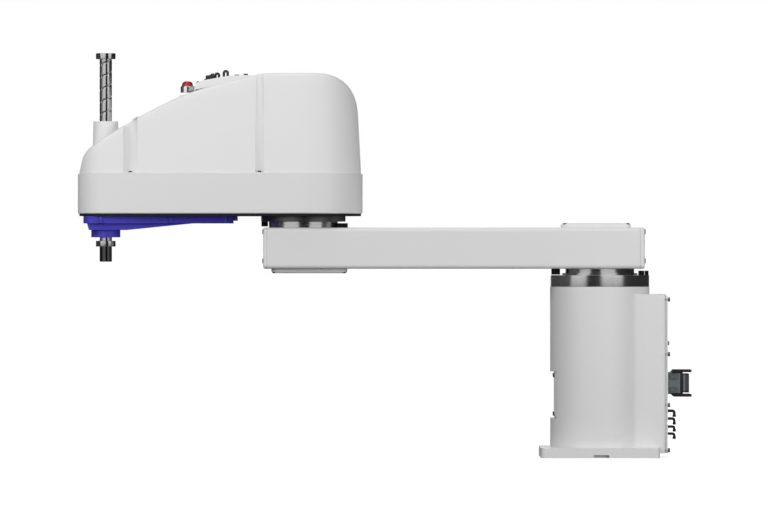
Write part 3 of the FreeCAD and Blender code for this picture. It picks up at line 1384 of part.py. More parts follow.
def build_drive():
    floor_top = arm_two_low + arm_two_floor
    housing_low = arm_two_low - housing_drop
    inner = housing_radius - housing_wall
    housing = [(inner, housing_low), (housing_radius, housing_low), (housing_radius, floor_top),
               (housing_flange, floor_top), (housing_flange, floor_top + housing_flange_height),
               (inner, floor_top + housing_flange_height)]
    finish("nut_bearing_housing", turned("nut_bearing_housing", housing, (wrist, 0, 0)))

    nut_low = housing_low - 1
    turn_pulley_low = floor_top + housing_flange_height + 1
    bore = shaft_radius - crown_relief + shaft_fit
    nut = [(bore, nut_low), (nut_radius, nut_low), (nut_radius, turn_pulley_low), (bore, turn_pulley_low)]
    finish("spline_nut", turned("spline_nut", nut, (wrist, 0, 0)))
    finish("spline_nut_pulley", pulley("spline_nut_pulley", turn_pulley, bore, turn_pulley_low,
                                       pulley_height, wrist))

    plate_low = floor_top + bracket_rise
    plate_top = plate_low + bracket_thickness
    hub_top = plate_top + bracket_hub_height
    bracket = Piece("shaft_nut_bracket_body")
    bracket.pad("XY", plate_low, plate_top,
                rectangle(wrist + bracket_rear, -bracket_half_width, wrist + bracket_front,
                          bracket_half_width, bracket_corner))
    hub = tube("bracket_hub", inner + bracket_hub_wall, inner, plate_low, hub_top, wrist)
    post_spots = corners_of(bracket_post_rear, -bracket_post_half, bracket_post_front, bracket_post_half)
    posts = [cylinder("bracket_post_%d" % i, post_radius, bracket_rise + 1, (wrist + x, y, floor_top))
             for i, (x, y) in enumerate(post_spots)]
    hole = cylinder("bracket_bore", inner, bracket_thickness + 2, (wrist, 0, plate_low - 1))
    drilled = cut("bracket_plate", bracket.body, hole)
    finish("shaft_nut_bracket", fuse("shaft_nut_bracket", drilled, hub, *posts))

    lift_pulley_low = hub_top + pulley_gap
    ball = [(bore, plate_low + 2), (nut_radius, plate_low + 2), (nut_radius, lift_pulley_low),
            (bore, lift_pulley_low)]
    finish("ball_screw_nut", turned("ball_screw_nut", ball, (wrist, 0, 0)))
    finish("ball_nut_pulley", pulley("ball_nut_pulley", lift_pulley, bore, lift_pulley_low,
                                     pulley_height, wrist))

    race = nut_radius + seat_gap
    rings = [tube("nut_bearing_%d" % i, inner, race, low, low + bearing_height, wrist)
             for i, low in enumerate((housing_low + 2, floor_top - bearing_height - 2,
                                      plate_low + 3, hub_top - bearing_height - 1))]
    finish("shaft_nut_bearings", group("shaft_nut_bearings", *rings))

    turn_belt_low = turn_pulley_low + (pulley_height - belt_width) / 2
    lift_belt_low = lift_pulley_low + (pulley_height - belt_width) / 2
    turn_x = wrist + turn_motor_x
    lift_x = wrist + lift_motor_x
    finish("turn_belt", belt("turn_belt", wrist, turn_pulley, turn_x, turn_motor_pulley_radius,
                             turn_belt_low))
    finish("lift_belt", belt("lift_belt", wrist, lift_pulley, lift_x, lift_motor_pulley_radius,
                             lift_belt_low))
    pulley_bore = small_motor_shaft + shaft_fit
    finish("turn_motor_pulley", pulley("turn_motor_pulley", turn_motor_pulley_radius, pulley_bore,
                                       turn_pulley_low, pulley_height, turn_x))
    finish("lift_motor_pulley", pulley("lift_motor_pulley", lift_motor_pulley_radius, pulley_bore,
                                       lift_pulley_low, pulley_height, lift_x))

    brackets = []
    for name, x, pulley_low in (("lift", lift_x, lift_pulley_low), ("turn", turn_x, turn_pulley_low)):
        plate_under = pulley_low + pulley_height + motor_plate_gap
        seat = plate_under + motor_plate_thickness
        shelf = Piece(name + "_motor_shelf")
        shelf.pad("XY", plate_under, seat,
                  rectangle(x - motor_plate_half, -motor_plate_half - 6, x + motor_plate_half,
                            motor_plate_half + 6, measure(6)))
        shelf.pocket("XY", plate_under - 1, seat + 1, circle((x, 0), small_motor_pilot + seat_gap))
        legs = [cylinder("%s_motor_leg_%d" % (name, i), post_radius, plate_under - floor_top + 1,
                         (x + along, y, floor_top))
                for i, (along, y) in enumerate(corners_of(-motor_plate_half + 5, -motor_plate_half - 1,
                                                          motor_plate_half - 5, motor_plate_half + 1))]
        brackets.append(fuse(name + "_motor_bracket", shelf.body, *legs))
        finish(name + "_motor", motor(name + "_motor", small_motor_half_width, small_motor_length,
                                      small_motor_pilot, small_motor_shaft,
                                      seat - pulley_low - 1, (x, 0, seat), "-Z",
                                      screw_shank - 0.5))
    finish("motor_brackets", group("motor_brackets", *brackets))


# Lamp, brake button and user panel

def panel_height(x):
    """Height of the user panel's top face, a chain of straight runs above the cover's slope."""
    runs = ((panel_front, panel_front_rise), (panel_peak, panel_peak_rise),
            (panel_middle, panel_middle_rise), (panel_rear, panel_rear_rise))
    for (start, start_rise), (end, end_rise) in zip(runs, runs[1:]):
        if measure(x).value >= end.value:
            break
    low, high = top_height(start) + start_rise, top_height(end) + end_rise
    return low + (high - low) * ((x - start) / (end - start))


def panel_outline(wall):
    """Side view of the user panel, or of the hollow in it when a wall is given."""
    front, rear = panel_front - wall, panel_rear + wall
    sink = measure(wall) / panel_wall
    places = [front, panel_peak, panel_middle, rear]
    return ([(wrist + rear, top_height(rear) - sink), (wrist + front, top_height(front) - sink)]
            + [(wrist + x, panel_height(x) - wall) for x in places])


def panel_filling(name):
    """Everything under the user panel's top face, to seat a fitting on it."""
    piece = Piece(name)
    piece.pad("XZ", -panel_half_width, panel_half_width, (draw_outline, panel_outline(0)))
    return piece.body


def build_top():
    seat = arm_two_top + knee_height + lamp_boss_rise - 5
    lamp_at = (wrist + lamp_x, 0, seat)
    ring = [(0, 0), (lamp_radius, 0), (lamp_radius, lamp_ring_height - 1.5),
            (lamp_radius - 1.5, lamp_ring_height), (lamp_dome_radius - 1, lamp_ring_height),
            (lamp_dome_radius - 1, 4), (0, 4)]
    finish("status_lamp_base", turned("status_lamp_base", ring, lamp_at))
    dome_round = lamp_dome_height - 1.5
    neck = lamp_dome_radius - 1 - seat_gap
    dome = [(0, 4), (neck, 4), (neck, lamp_ring_height), (lamp_dome_radius, lamp_ring_height),
            (lamp_dome_radius - 1.2, lamp_ring_height + lamp_dome_height, dome_round * 0.6),
            (0, lamp_ring_height + lamp_dome_height)]
    finish("status_lamp_lens", turned("status_lamp_lens", dome, lamp_at))

    outer = panel_outline(0)
    inner = panel_outline(panel_wall)
    panel = Piece("user_panel_body")
    panel.pad("XZ", -panel_half_width, panel_half_width, (draw_outline, outer))
    panel.pocket("XZ", -panel_half_width + panel_wall, panel_half_width - panel_wall, (draw_outline, inner))
    bezel_low = panel_height(button_x) - button_bezel_depth
    bezel_top = panel_height(button_x) + button_bezel_rise
    button_at = (wrist + button_x, 0, 0)
    hole = cylinder("panel_button_hole", button_bezel_radius + shaft_fit, button_bezel_depth * 2,
                    (wrist + button_x, 0, bezel_low - 1))
    finish("user_panel", cut("user_panel", panel.body, hole))
    slide = button_radius + seat_gap
    finish("button_bezel", turned("button_bezel", [(slide, bezel_low), (button_bezel_radius, bezel_low),
                                                   (button_bezel_radius, bezel_top), (slide, bezel_top)],
                                  button_at))
    button_low = bezel_low + button_travel
    button_top = panel_height(button_x) + button_rise
    finish("brake_release_button", turned("brake_release_button",
                                          [(0, button_low), (button_radius, button_low),
                                           (button_radius, button_top - 0.8),
                                           (button_radius - 0.8, button_top), (0, button_top)],
                                          button_at))

    parts = []
    for name, front, rear, half, rise in (
            ("flange", signal_socket_front, signal_socket_rear, signal_socket_half_width,
             signal_socket_flange),
            ("shell", signal_shell_front, signal_hood_front, signal_shell_half_width,
             signal_shell_rise),
            ("hood", signal_hood_front, signal_socket_rear, signal_shell_half_width,
             signal_hood_rise)):
        piece = Piece("user_signal_" + name)
        piece.pad("XZ", -half, half,
                  (draw_outline, [(wrist + rear, panel_height(rear)), (wrist + front, panel_height(front)),
                                  (wrist + front, panel_height(front) + rise),
                                  (wrist + rear, panel_height(rear) + rise)]))
        parts.append(piece.body)
    finish("user_signal_connectors", fuse("user_signal_connectors", *parts))

    fittings = []
    for i, (x, bend, leg) in enumerate(zip(arch_places, arch_bends, arch_legs)):
        centre_z = panel_height(x) + leg
        arch = doc.addObject("Part::Torus", "user_arch_%d" % i)
        bind(arch, "Radius1", bend)
        bind(arch, "Radius2", arch_tube)
        arch.Angle3 = 180
        place(arch, (wrist + x, 0, centre_z), "-Y")
        legs = [cylinder("user_leg_%d_%d" % (i, j), arch_tube, leg + arch_tube,
                         (wrist + x + side * bend, 0, centre_z - leg - arch_tube))
                for j, side in enumerate((1, -1))]
        whole = fuse("user_arch_whole_%d" % i, arch, *legs)
        fittings.append(cut("user_fitting_%d" % i, whole, panel_filling("user_arch_seat_%d" % i)))
    for i, (x, radius, rise) in enumerate(zip(plug_places, plug_radii, plug_rises)):
        cap = cylinder("user_cap_%d" % i, radius, panel_wall + rise,
                       (wrist + x, 0, panel_height(x) - panel_wall))
        fittings.append(cut("user_plug_%d" % i, cap, panel_filling("user_plug_seat_%d" % i)))
    finish("user_fittings", group("user_fittings", *fittings))


build_base()
build_rear_connectors()
build_first_joint()
elbow_holes = build_first_arm()
build_second_joint(elbow_holes)
build_second_arm()
build_shaft()
build_drive()
build_top()
doc.recompute()

broken = [obj.Name for obj in doc.Objects if "Invalid" in obj.State or "Error" in obj.State]
broken += [name for name, obj in subparts.items()
           if obj.Shape.isNull() or not obj.Shape.isValid() or not obj.Shape.Solids]
broken += [name for name, obj in subparts.items() if obj.Label != name]
if broken:
    raise RuntimeError("not built: " + ", ".join(sorted(set(broken))))
os.makedirs("parts", exist_ok=True)
for name, obj in subparts.items():
    obj.Shape.exportStep("parts/%s.step" % name)
    print("%-26s %2d solids %10.1f cm3" % (name, len(obj.Shape.Solids), obj.Shape.Volume / 1000))
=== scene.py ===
import logging
import math
from dataclasses import dataclass
from enum import Enum
from functools import cached_property
from typing import Callable, Sequence

import bpy
import numpy as np
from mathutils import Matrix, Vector


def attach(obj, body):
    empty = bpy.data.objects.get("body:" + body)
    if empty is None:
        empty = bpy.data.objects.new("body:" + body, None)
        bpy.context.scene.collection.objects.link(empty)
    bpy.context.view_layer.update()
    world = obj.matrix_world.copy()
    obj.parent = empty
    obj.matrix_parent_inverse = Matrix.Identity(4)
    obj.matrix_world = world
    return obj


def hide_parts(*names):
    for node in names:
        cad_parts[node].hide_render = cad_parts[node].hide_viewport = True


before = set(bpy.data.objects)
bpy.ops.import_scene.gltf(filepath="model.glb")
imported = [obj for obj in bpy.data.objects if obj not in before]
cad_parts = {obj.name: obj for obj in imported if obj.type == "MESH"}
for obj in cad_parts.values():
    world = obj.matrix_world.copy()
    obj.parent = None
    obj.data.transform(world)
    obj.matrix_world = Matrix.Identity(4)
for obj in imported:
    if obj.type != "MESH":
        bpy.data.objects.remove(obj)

# Dresses a four-axis floor robot: two level arms on a column and an upright tool shaft.
# Metres, +Z up, the first joint's axis at the origin, +X along the stretched arm.

MM = 0.001
PHOTO_WIDTH = 767

Array = np.ndarray
Colour = Point = tuple[float, float, float]
Material = bpy.types.Material
Piece = bpy.types.Object
Socket = bpy.types.NodeSocket
Number = "float | Signal"

log = logging.getLogger("robot")


def linear(red: int, green: int, blue: int) -> Colour:
    """A screen colour, 0 to 255 a channel, as the light it stands for.

    Args:
        red, green, blue: the screen colour's channels.

    Returns:
        The linear colour.
    """
    channels = np.array([red, green, blue]) / 255
    low = channels / 12.92
    high = ((channels + 0.055) / 1.055) ** 2.4
    return tuple(float(c) for c in np.where(channels <= 0.04045, low, high))


# Shader maths

def joined(operation: str, swapped: bool = False) -> Callable:
    """A method of Signal that joins it to another number with one Math node.

    Args:
        operation: the Math node's operation.
        swapped: whether the other number comes first.

    Returns:
        The method.
    """
    def method(self: "Signal", other: Number) -> "Signal":
        """The joined number."""
        return self.bench.math(operation, *((other, self) if swapped else (self, other)))
    return method


class Signal:
    """A number that varies over a surface; arithmetic on it adds Math nodes."""

    __add__, __radd__ = joined("ADD"), joined("ADD", swapped=True)
    __sub__, __rsub__ = joined("SUBTRACT"), joined("SUBTRACT", swapped=True)
    __mul__, __rmul__ = joined("MULTIPLY"), joined("MULTIPLY", swapped=True)
    __truediv__, __pow__ = joined("DIVIDE"), joined("POWER")
    at_most = joined("MINIMUM")

    def __init__(self, bench: "Bench", socket: Socket) -> None:
        """Keeps the socket and the bench that its nodes are made on."""
        self.bench = bench
        self.socket = socket


class Bench:
    """One material or world being put together, node by node."""

    def __init__(self, owner: Material | bpy.types.World) -> None:
        """Empties the owner's node tree and gives it a new output.

        Args:
            owner: the material or world whose nodes are made here.
        """
        owner.use_nodes = True
        self.owner = owner
        self.tree = owner.node_tree
        self.tree.nodes.clear()
        self.output = self.node(f"Output{type(owner).__name__}")

    @classmethod
    def named(cls, name: str) -> "Bench":
        """A bench for a new material of that name."""
        return cls(bpy.data.materials.new(name))

    def link(self, target: Socket, value: object) -> None:
        """Joins a socket to a signal, a socket or a node, or sets it to a plain value.

        Args:
            target: the socket that is filled.
            value: what it is joined or set to; a colour has three numbers.
        """
        if isinstance(value, Signal):
            value = value.socket
        if isinstance(value, bpy.types.Node):
            value = value.outputs[0]
        if isinstance(value, Socket):
            self.tree.links.new(value, target)
        elif target.type == "RGBA":
            target.default_value = (*value, 1.0)
        else:
            target.default_value = value

    def node(self, kind: str, inputs: dict | None = None, **settings: object) -> bpy.types.Node:
        """One node of any type.

        Args:
            kind: the node's type name after ShaderNode.
            inputs: socket names or numbers, each with its value or link.
            settings: attributes set before the sockets are filled.

        Returns:
            The node made.
        """
        made = self.tree.nodes.new(f"ShaderNode{kind}")
        for key, value in settings.items():
            setattr(made, key, value)
        for key, value in (inputs or {}).items():
            self.link(made.inputs[key], value)
        return made

    def math(self, operation: str, *values: Number) -> Signal:
        """A Math node over one, two or three numbers."""
        made = self.node("Math", dict(enumerate(values)), operation=operation)
        return Signal(self, made.outputs[0])

    def place(self, centre: Sequence[float] = (0, 0, 0),
              scale: Sequence[float] = (1, 1, 1)) -> bpy.types.Node:
        """Object coordinates measured from a centre and scaled.

        Args:
            centre: what the coordinates are measured from.
            scale: what they are multiplied by, axis by axis.

        Returns:
            The node that gives them.
        """
        coordinates = self.node("TexCoord").outputs["Object"]
        moved = self.node("VectorMath", {0: coordinates, 1: centre}, operation="SUBTRACT")
        return self.node("Mapping", {"Vector": moved, "Scale": scale}, vector_type="POINT")

    def parts(self, vector: object) -> tuple[Signal, Signal, Signal]:
        """A vector's three numbers."""
        split = self.node("SeparateXYZ", {0: vector})
        return tuple(Signal(self, socket) for socket in split.outputs)

    def polar(self, axis_x: float = 0.0) -> tuple[Signal, Signal, Signal]:
        """X and Z from an upright axis, and the distance sqrt(x x + y y) to it."""
        x, y, z = self.parts(self.place((axis_x, 0, 0)))
        return x, z, (x * x + y * y) ** 0.5

    def vector(self, *numbers: Number) -> bpy.types.Node:
        """Three numbers as one vector."""
        return self.node("CombineXYZ", dict(enumerate(numbers)))

    def noise(self, scale: float, detail: float = 2, roughness: float = 0.5,
              vector: object = None) -> Signal:
        """Cloudy noise from 0 to 1; the scale is its waves in a metre."""
        made = self.node("TexNoise", {"Vector": vector or self.place(), "Scale": scale,
                                      "Detail": detail, "Roughness": roughness})
        return Signal(self, made.outputs["Fac"])

    def cells(self, scale: float) -> Signal:
        """Distance to the nearest of scattered points; the scale is cells in a metre."""
        made = self.node("TexVoronoi", {"Vector": self.place(), "Scale": scale})
        return Signal(self, made.outputs["Distance"])

    def blend(self, factor: Number, first: object, second: object) -> Socket:
        """Two colours mixed by a factor."""
        made = self.node("Mix", {"Factor": factor, "A": first, "B": second}, data_type="RGBA")
        return made.outputs["Result"]

    def bump(self, height: Signal, depth: float, strength: float) -> bpy.types.Node:
        """A normal that follows a height of 0 to 1 over a depth in metres."""
        return self.node("Bump", {"Height": height, "Distance": depth, "Strength": strength})

    def shader(self, **inputs: object) -> Material:
        """Ends the material with one main shader.

        Args:
            inputs: socket names with _ for a space, each with its value or link.

        Returns:
            The finished material.
        """
        names = {key.replace("_", " "): value for key, value in inputs.items()}
        return self.end(self.node("BsdfPrincipled", names))

    def end(self, last: bpy.types.Node) -> Material | bpy.types.World:
        """Joins the last node to the output and hands the owner back."""
        self.link(self.output.inputs["Surface"], last)
        return self.owner


# Finishes

@dataclass(frozen=True)
class Coat:
    """What every finish has: its material's name and its main colour."""

    name: str
    colour: Colour

    def shade(self, share: float) -> Colour:
        """The colour, darker or paler by a share."""
        return tuple(c * share for c in self.colour)

    def material(self) -> Material:
        """The finish as a material."""
        bench = Bench.named(self.name)
        return bench.shader(**self.sockets(bench))

    def sockets(self, bench: Bench) -> dict[str, object]:
        """The main shader's sockets, each with its value or link."""
        raise NotImplementedError


@dataclass(frozen=True)
class SprayedPaint(Coat):
    """Baked powder paint on cast metal: a fine even peel, a little uneven in tone."""

    peel: float = 900.0
    peel_depth: float = 0.02 * MM
    tone: float = 0.03
    roughness: float = 0.42

    def sockets(self, bench: Bench) -> dict[str, object]:
        """Cloudy tones over the fine peel.

        Args:
            bench: where the nodes are made.

        Returns:
            The main shader's sockets.
        """
        cloud = bench.noise(9, 3)
        fine = bench.noise(self.peel, 2, 0.6)
        speck = bench.noise(self.peel * 3.1, 1)
        share = cloud * 0.7 + fine * 0.3
        return dict(
            Base_Color=bench.blend(share, self.shade(1 - self.tone), self.colour),
            Roughness=self.roughness + (cloud - 0.5) * 0.08 + (fine - 0.5) * 0.06,
            Normal=bench.bump(fine * 0.8 + speck * 0.2, self.peel_depth, 0.6),
            Specular_IOR_Level=0.4)


@dataclass(frozen=True)
class MouldedPlastic(Coat):
    """Injection-moulded plastic with a sparked, slightly pebbled skin."""

    pebble: float = 1400.0
    depth: float = 0.015 * MM
    tone: float = 0.04
    roughness: float = 0.45
    specular: float = 0.4

    def sockets(self, bench: Bench) -> dict[str, object]:
        """Cloudy tones over the pebbles.

        Args:
            bench: where the nodes are made.

        Returns:
            The main shader's sockets.
        """
        cells = bench.cells(self.pebble)
        cloud = bench.noise(14, 2)
        fine = bench.noise(self.pebble * 2.3, 1)
        share = (cloud * 0.8 + cells * 0.3).at_most(1.0)
        return dict(
            Base_Color=bench.blend(share, self.shade(1 - self.tone), self.colour),
            Roughness=self.roughness + (cells - 0.4) * 0.10 + (cloud - 0.5) * 0.05,
            Normal=bench.bump(cells * 0.7 + fine * 0.3, self.depth, 0.55),
            Specular_IOR_Level=self.specular)


@dataclass(frozen=True)
class PartedPlastic(Coat):
    """Moulded plastic whose colour holds inside a box of the part, with another outside."""

    outside: Colour
    middle: Point
    half: Point
    soft: float = 0.4 * MM
    roughness: float = 0.45

    def sockets(self, bench: Bench) -> dict[str, object]:
        """Two tones: the share outside is the largest (|p - middle| - half) / soft of the axes.

        Args:
            bench: where the nodes are made.

        Returns:
            The main shader's sockets.
        """
        over = [(bench.math("ABSOLUTE", axis) - half) / self.soft for axis, half in
                zip(bench.parts(bench.place(self.middle)), self.half)]
        share = bench.math("MAXIMUM", bench.math("MAXIMUM", over[0], over[1]), over[2])
        cells = bench.cells(1500)
        colour = bench.blend(share, self.colour, self.outside)
        dark = tuple(c * 0.7 for c in self.outside)
        return dict(Base_Color=bench.blend(bench.noise(30, 2) * 0.3, colour, dark),
                    Roughness=self.roughness + (cells - 0.4) * 0.12,
                    Normal=bench.bump(cells, 0.015 * MM, 0.5), Specular_IOR_Level=0.4)


@dataclass(frozen=True)
class TurnedSteel(Coat):
    """Steel turned in a lathe: fine rings round an upright axis.

    Below a height it may be blackened, as a hardened shaft's ground end often is.
    """

    axis_x: float = 0.0
    rings: float = 5200.0
    depth: float = 0.006 * MM
    roughness: float = 0.24
    uneven: float = 0.10
    black_below: float = -1.0

    def sockets(self, bench: Bench) -> dict[str, object]:
        """Noise over the radius and the height, which gives rings, with a slight stain.

        Args:
            bench: where the nodes are made.

        Returns:
            The main shader's sockets.
        """
        _x, z, radius = bench.polar(self.axis_x)
        lines = bench.noise(1.0, 2, 0.6, bench.vector(radius * self.rings, z * self.rings, 0.0))
        broad = bench.noise(1.0, 1, 0.5, bench.vector(radius * 210, z * 210, 0.0))
        share = (lines * 0.5 + bench.noise(30, 2) * 0.5) ** 1.6
        colour = bench.blend(share, self.shade(0.8), self.colour)
        if self.black_below > 0:
            black = (self.black_below - z) / (0.4 * MM)
            colour = bench.blend(black, colour, self.shade(0.15))
        rough = self.roughness + (lines - 0.5) * self.uneven + (broad - 0.5) * self.uneven
        return dict(Base_Color=colour, Roughness=rough, Metallic=1.0,
                    Normal=bench.bump(lines, self.depth, 0.5))


@dataclass(frozen=True)
class BlackOxide(Coat):
    """Blackened steel of screws and stops, rubbed paler on its high spots."""

    worn: Colour
    roughness: float = 0.38

    def sockets(self, bench: Bench) -> dict[str, object]:
        """Worn spots over a fine grain.

        Args:
            bench: where the nodes are made.

        Returns:
            The main shader's sockets.
        """
        grain = bench.noise(2600, 2)
        share = (bench.noise(160, 3, 0.65) ** 3.0) * 0.5
        return dict(Base_Color=bench.blend(share, self.colour, self.worn), Metallic=0.6,
                    Roughness=self.roughness + (grain - 0.5) * 0.14,
                    Normal=bench.bump(grain, 0.01 * MM, 0.4))


@dataclass(frozen=True)
class MachinedAluminium(Coat):
    """Milled aluminium with soft tool marks and a dull natural skin."""

    roughness: float = 0.36

    def sockets(self, bench: Bench) -> dict[str, object]:
        """Noise drawn out along X gives the tool marks.

        Args:
            bench: where the nodes are made.

        Returns:
            The main shader's sockets.
        """
        marks = bench.noise(1.0, 2, 0.5, bench.place(scale=(380, 2600, 2600)))
        return dict(Base_Color=bench.blend(bench.noise(40, 2), self.shade(0.84), self.colour),
                    Roughness=self.roughness + (marks - 0.5) * 0.16, Metallic=1.0,
                    Normal=bench.bump(marks, 0.008 * MM, 0.5))


@dataclass(frozen=True)
class BeltRubber(Coat):
    """Toothed-belt rubber with its cord weave just showing."""

    cords: float = 900.0

    def sockets(self, bench: Bench) -> dict[str, object]:
        """Level ribs under a little dust.

        Args:
            bench: where the nodes are made.

        Returns:
            The main shader's sockets.
        """
        _x, z, _radius = bench.polar()
        ribs = bench.math("SINE", z * (self.cords * 2 * math.pi)) * 0.5 + 0.5
        dust = bench.noise(600, 3)
        return dict(Base_Color=bench.blend(dust * 0.5, self.colour, self.shade(1.9)),
                    Roughness=0.75 + (dust - 0.5) * 0.2,
                    Normal=bench.bump(ribs * 0.6 + dust * 0.4, 0.05 * MM, 0.6))


@dataclass(frozen=True)
class LampLens(Coat):
    """Clear red lamp plastic with painted shade darker towards both sides along X, and rings
    moulded round it.
    """

    # The colour of the painted shade towards both sides along X.
    deep: Colour
    axis_x: float

    def sockets(self, bench: Bench) -> dict[str, object]:
        """Painted shade darker at both sides along X, with random cloudy tone and a ring every 1.6
        mm of radius.

        Args:
            bench: where the nodes are made.

        Returns:
            The main shader's sockets.
        """
        x, _z, radius = bench.polar(self.axis_x)
        rings = bench.math("SINE", radius * (2 * math.pi / (1.6 * MM))) * 0.5 + 0.5
        cloud = bench.noise(220, 2)
        # Painted shade: darker towards both sides along X, with random cloud on top.
        share = ((x / (12 * MM)) ** 2 * 0.9 + cloud * 0.25).at_most(1.0)
        return dict(Base_Color=bench.blend(share, self.colour, self.deep),
                    Roughness=0.16 + cloud * 0.08, Coat_Weight=0.6, Coat_Roughness=0.06,
                    Normal=bench.bump(rings, 0.06 * MM, 0.4))


class Finish(Enum):
    """Every finish on the robot, by the part it is for."""

    ARM_PAINT = SprayedPaint("white_arm_paint", linear(226, 226, 226))
    BASE_PAINT = SprayedPaint("white_base_paint", linear(226, 226, 226), peel=700)
    COVER = MouldedPlastic("white_cover_plastic", linear(233, 233, 233), tone=0.02)
    GUARD = MouldedPlastic("blue_guard_plastic", linear(68, 62, 182), pebble=1100,
                           roughness=0.38, specular=0.45, tone=0.10)
    BLACK = MouldedPlastic("black_connector_plastic", linear(34, 34, 36), pebble=1800,
                           roughness=0.42, tone=0.25)
    GREY = MouldedPlastic("grey_hood_plastic", linear(116, 123, 125), pebble=900,
                          roughness=0.5, tone=0.12)
    FIRST_STEEL = TurnedSteel("turned_steel_first", (0.84, 0.84, 0.835), roughness=0.20)
    ELBOW_STEEL = TurnedSteel("turned_steel_elbow", (0.84, 0.84, 0.84), axis_x=0.6,
                              roughness=0.20)
    ELBOW_RING = TurnedSteel("satin_steel_elbow", (0.24, 0.24, 0.245), axis_x=0.6,
                             roughness=0.40, uneven=0.06)
    SHAFT_STEEL = TurnedSteel("ground_shaft_steel", (0.66, 0.66, 0.66), axis_x=1.0,
                              rings=3800, roughness=0.15, uneven=0.06,
                              black_below=425.2 * MM)
    PLAIN_STEEL = TurnedSteel("plain_steel_heads", (0.30, 0.30, 0.30), axis_x=-0.14,
                              rings=2600, roughness=0.34, uneven=0.06)
    CHROME = TurnedSteel("bright_chrome", (0.78, 0.78, 0.80), axis_x=0.8346,
                         rings=2600, roughness=0.12, uneven=0.04)
    BRASS = TurnedSteel("turned_brass", (0.72, 0.58, 0.30), axis_x=0.8132, roughness=0.26)
    CAP = PartedPlastic("dark_cap_plastic", linear(124, 129, 132), linear(66, 68, 72),
                        (-0.1696, 0.0, 0.1494), (0.0016, 1.0, 1.0))
    LEVER = PartedPlastic("lever_plastic", linear(104, 110, 112), linear(30, 30, 32),
                          (-0.1400, 0.0, 0.1494), (0.0205, 1.0, 0.0195))
    # Painted shade: the grey stands for the shadow in the joint round the first arm's ends.
    SEAM = MouldedPlastic("painted_joint_shade", linear(160, 160, 161), pebble=900)
    PANEL_PARTS = MouldedPlastic("panel_part_plastic", linear(60, 60, 62), pebble=1800,
                                 tone=0.3)
    SCREWS = BlackOxide("blackened_screws", linear(22, 22, 23), linear(80, 80, 80))
    # Painted shade: the dark colour stands for the shaded underside of the second arm's casting.
    PLATE = BlackOxide("painted_shade_underside", linear(38, 38, 40), linear(70, 70, 72),
                       roughness=0.55)
    MOTOR = BlackOxide("black_motor_paint", linear(28, 28, 30), linear(60, 60, 62),
                       roughness=0.5)
    ALUMINIUM = MachinedAluminium("milled_aluminium", (0.72, 0.73, 0.74))
    BELT = BeltRubber("belt_rubber", (0.018, 0.018, 0.018))
    # The lens's second colour is painted shade for its sides along X.
    LENS = LampLens("red_lamp_lens", linear(196, 34, 30), linear(92, 10, 14), 0.8346)

    def paint(self) -> Material:
        """The finish's material, made the first time it is asked for."""
        return bpy.data.materials.get(self.value.name) or self.value.material()


# Surfaces

def linked(name: str, data: bpy.types.ID) -> Piece:
    """A new object of the scene that shows a mesh, a lamp or a camera.

    Args:
        name: the object's name.
        data: the mesh, lamp or camera.

    Returns:
        The object.
    """
    made = bpy.data.objects.new(name, data)
    bpy.context.scene.collection.objects.link(made)
    return made


def mesh_object(name: str, points: Array, faces: list, sharp: float) -> Piece:
    """A mesh piece at the origin, smooth but for edges sharper than an angle.

    Args:
        name: the piece's name.
        points: its points, one line each.
        faces: its faces' corner numbers.
        sharp: the least angle in degrees of an edge that stays crisp.

    Returns:
        The new object.
    """
    mesh = bpy.data.meshes.new(name)
    mesh.from_pydata(points.astype(float).tolist(), [], faces)
    mesh.validate()
    mesh.polygons.foreach_set("use_smooth", np.ones(len(mesh.polygons), bool))
    mesh.set_sharp_from_angle(angle=math.radians(sharp))
    return linked(name, mesh)


def skin(name: str, grid: Array, wrap_rows: bool = False, wrap_columns: bool = True,
         caps: bool = True, sharp: float = 35) -> Piece:
    """A grid of points as a surface, its open ends closed by fans.

    Rows that climb with columns that turn anticlockwise from above face outwards.

    Args:
        name: the piece's name.
        grid: points by row, column and axis, in metres.
        wrap_rows: whether the last row joins the first.
        wrap_columns: whether each row is a ring.
        caps: whether the first and last rings are closed to their middles.
        sharp: the least angle in degrees of an edge that stays crisp.

    Returns:
        The new object.
    """
    points = grid.reshape(-1, 3)
    numbers = np.arange(len(points)).reshape(grid.shape[:2])
    web = np.pad(numbers, ((0, int(wrap_rows)), (0, int(wrap_columns))), mode="wrap")
    corners = web[:-1, :-1], web[:-1, 1:], web[1:, 1:], web[1:, :-1]
    faces = np.stack(corners, -1).reshape(-1, 4).tolist()
    if caps and not wrap_rows:
        low, high = numbers[0], numbers[-1]
        rims = (np.roll(low, -1), low), (high, np.roll(high, -1))
        for middle, (one, other) in enumerate(rims, len(points)):
            faces += np.stack([one, other, np.full_like(one, middle)], -1).tolist()
        points = np.vstack([points, grid[0].mean(0), grid[-1].mean(0)])
    return mesh_object(name, points, faces, sharp)


def soften(corners: Sequence[Sequence[float]], cut: float | Array, steps: int = 5,
           closed: bool = False) -> Array:
    """An outline with its corners eased.

    Each corner gives way to the parabola from the point a cut before it to the point a cut
    after it, drawn towards the corner; a cut is never over 0.45 of a side.

    Args:
        corners: the outline's corners in order.
        cut: the distance from a corner at which its curve starts, one or one for each.
        steps: points on each curve.
        closed: whether the last corner is followed by the first.

    Returns:
        The eased outline, one line for each point.
    """
    spots = np.asarray(corners, float)
    before, after = np.roll(spots, 1, 0), np.roll(spots, -1, 0)
    cuts = np.broadcast_to(np.asarray(cut, float), (len(spots),))
    lengths = [np.linalg.norm(side - spots, axis=1) for side in (before, after)]
    runs = [np.minimum(cuts, 0.45 * length) / np.maximum(length, 1e-9) for length in lengths]
    start = spots + (before - spots) * runs[0][:, None]
    end = spots + (after - spots) * runs[1][:, None]
    t = np.linspace(0, 1, steps)[None, :, None]
    curves = ((1 - t) ** 2 * start[:, None] + 2 * t * (1 - t) * spots[:, None]
              + t ** 2 * end[:, None])
    if closed:
        return curves.reshape(-1, spots.shape[1])
    middle = curves[1:-1].reshape(-1, spots.shape[1])
    return np.vstack([spots[:1], middle, spots[-1:]])


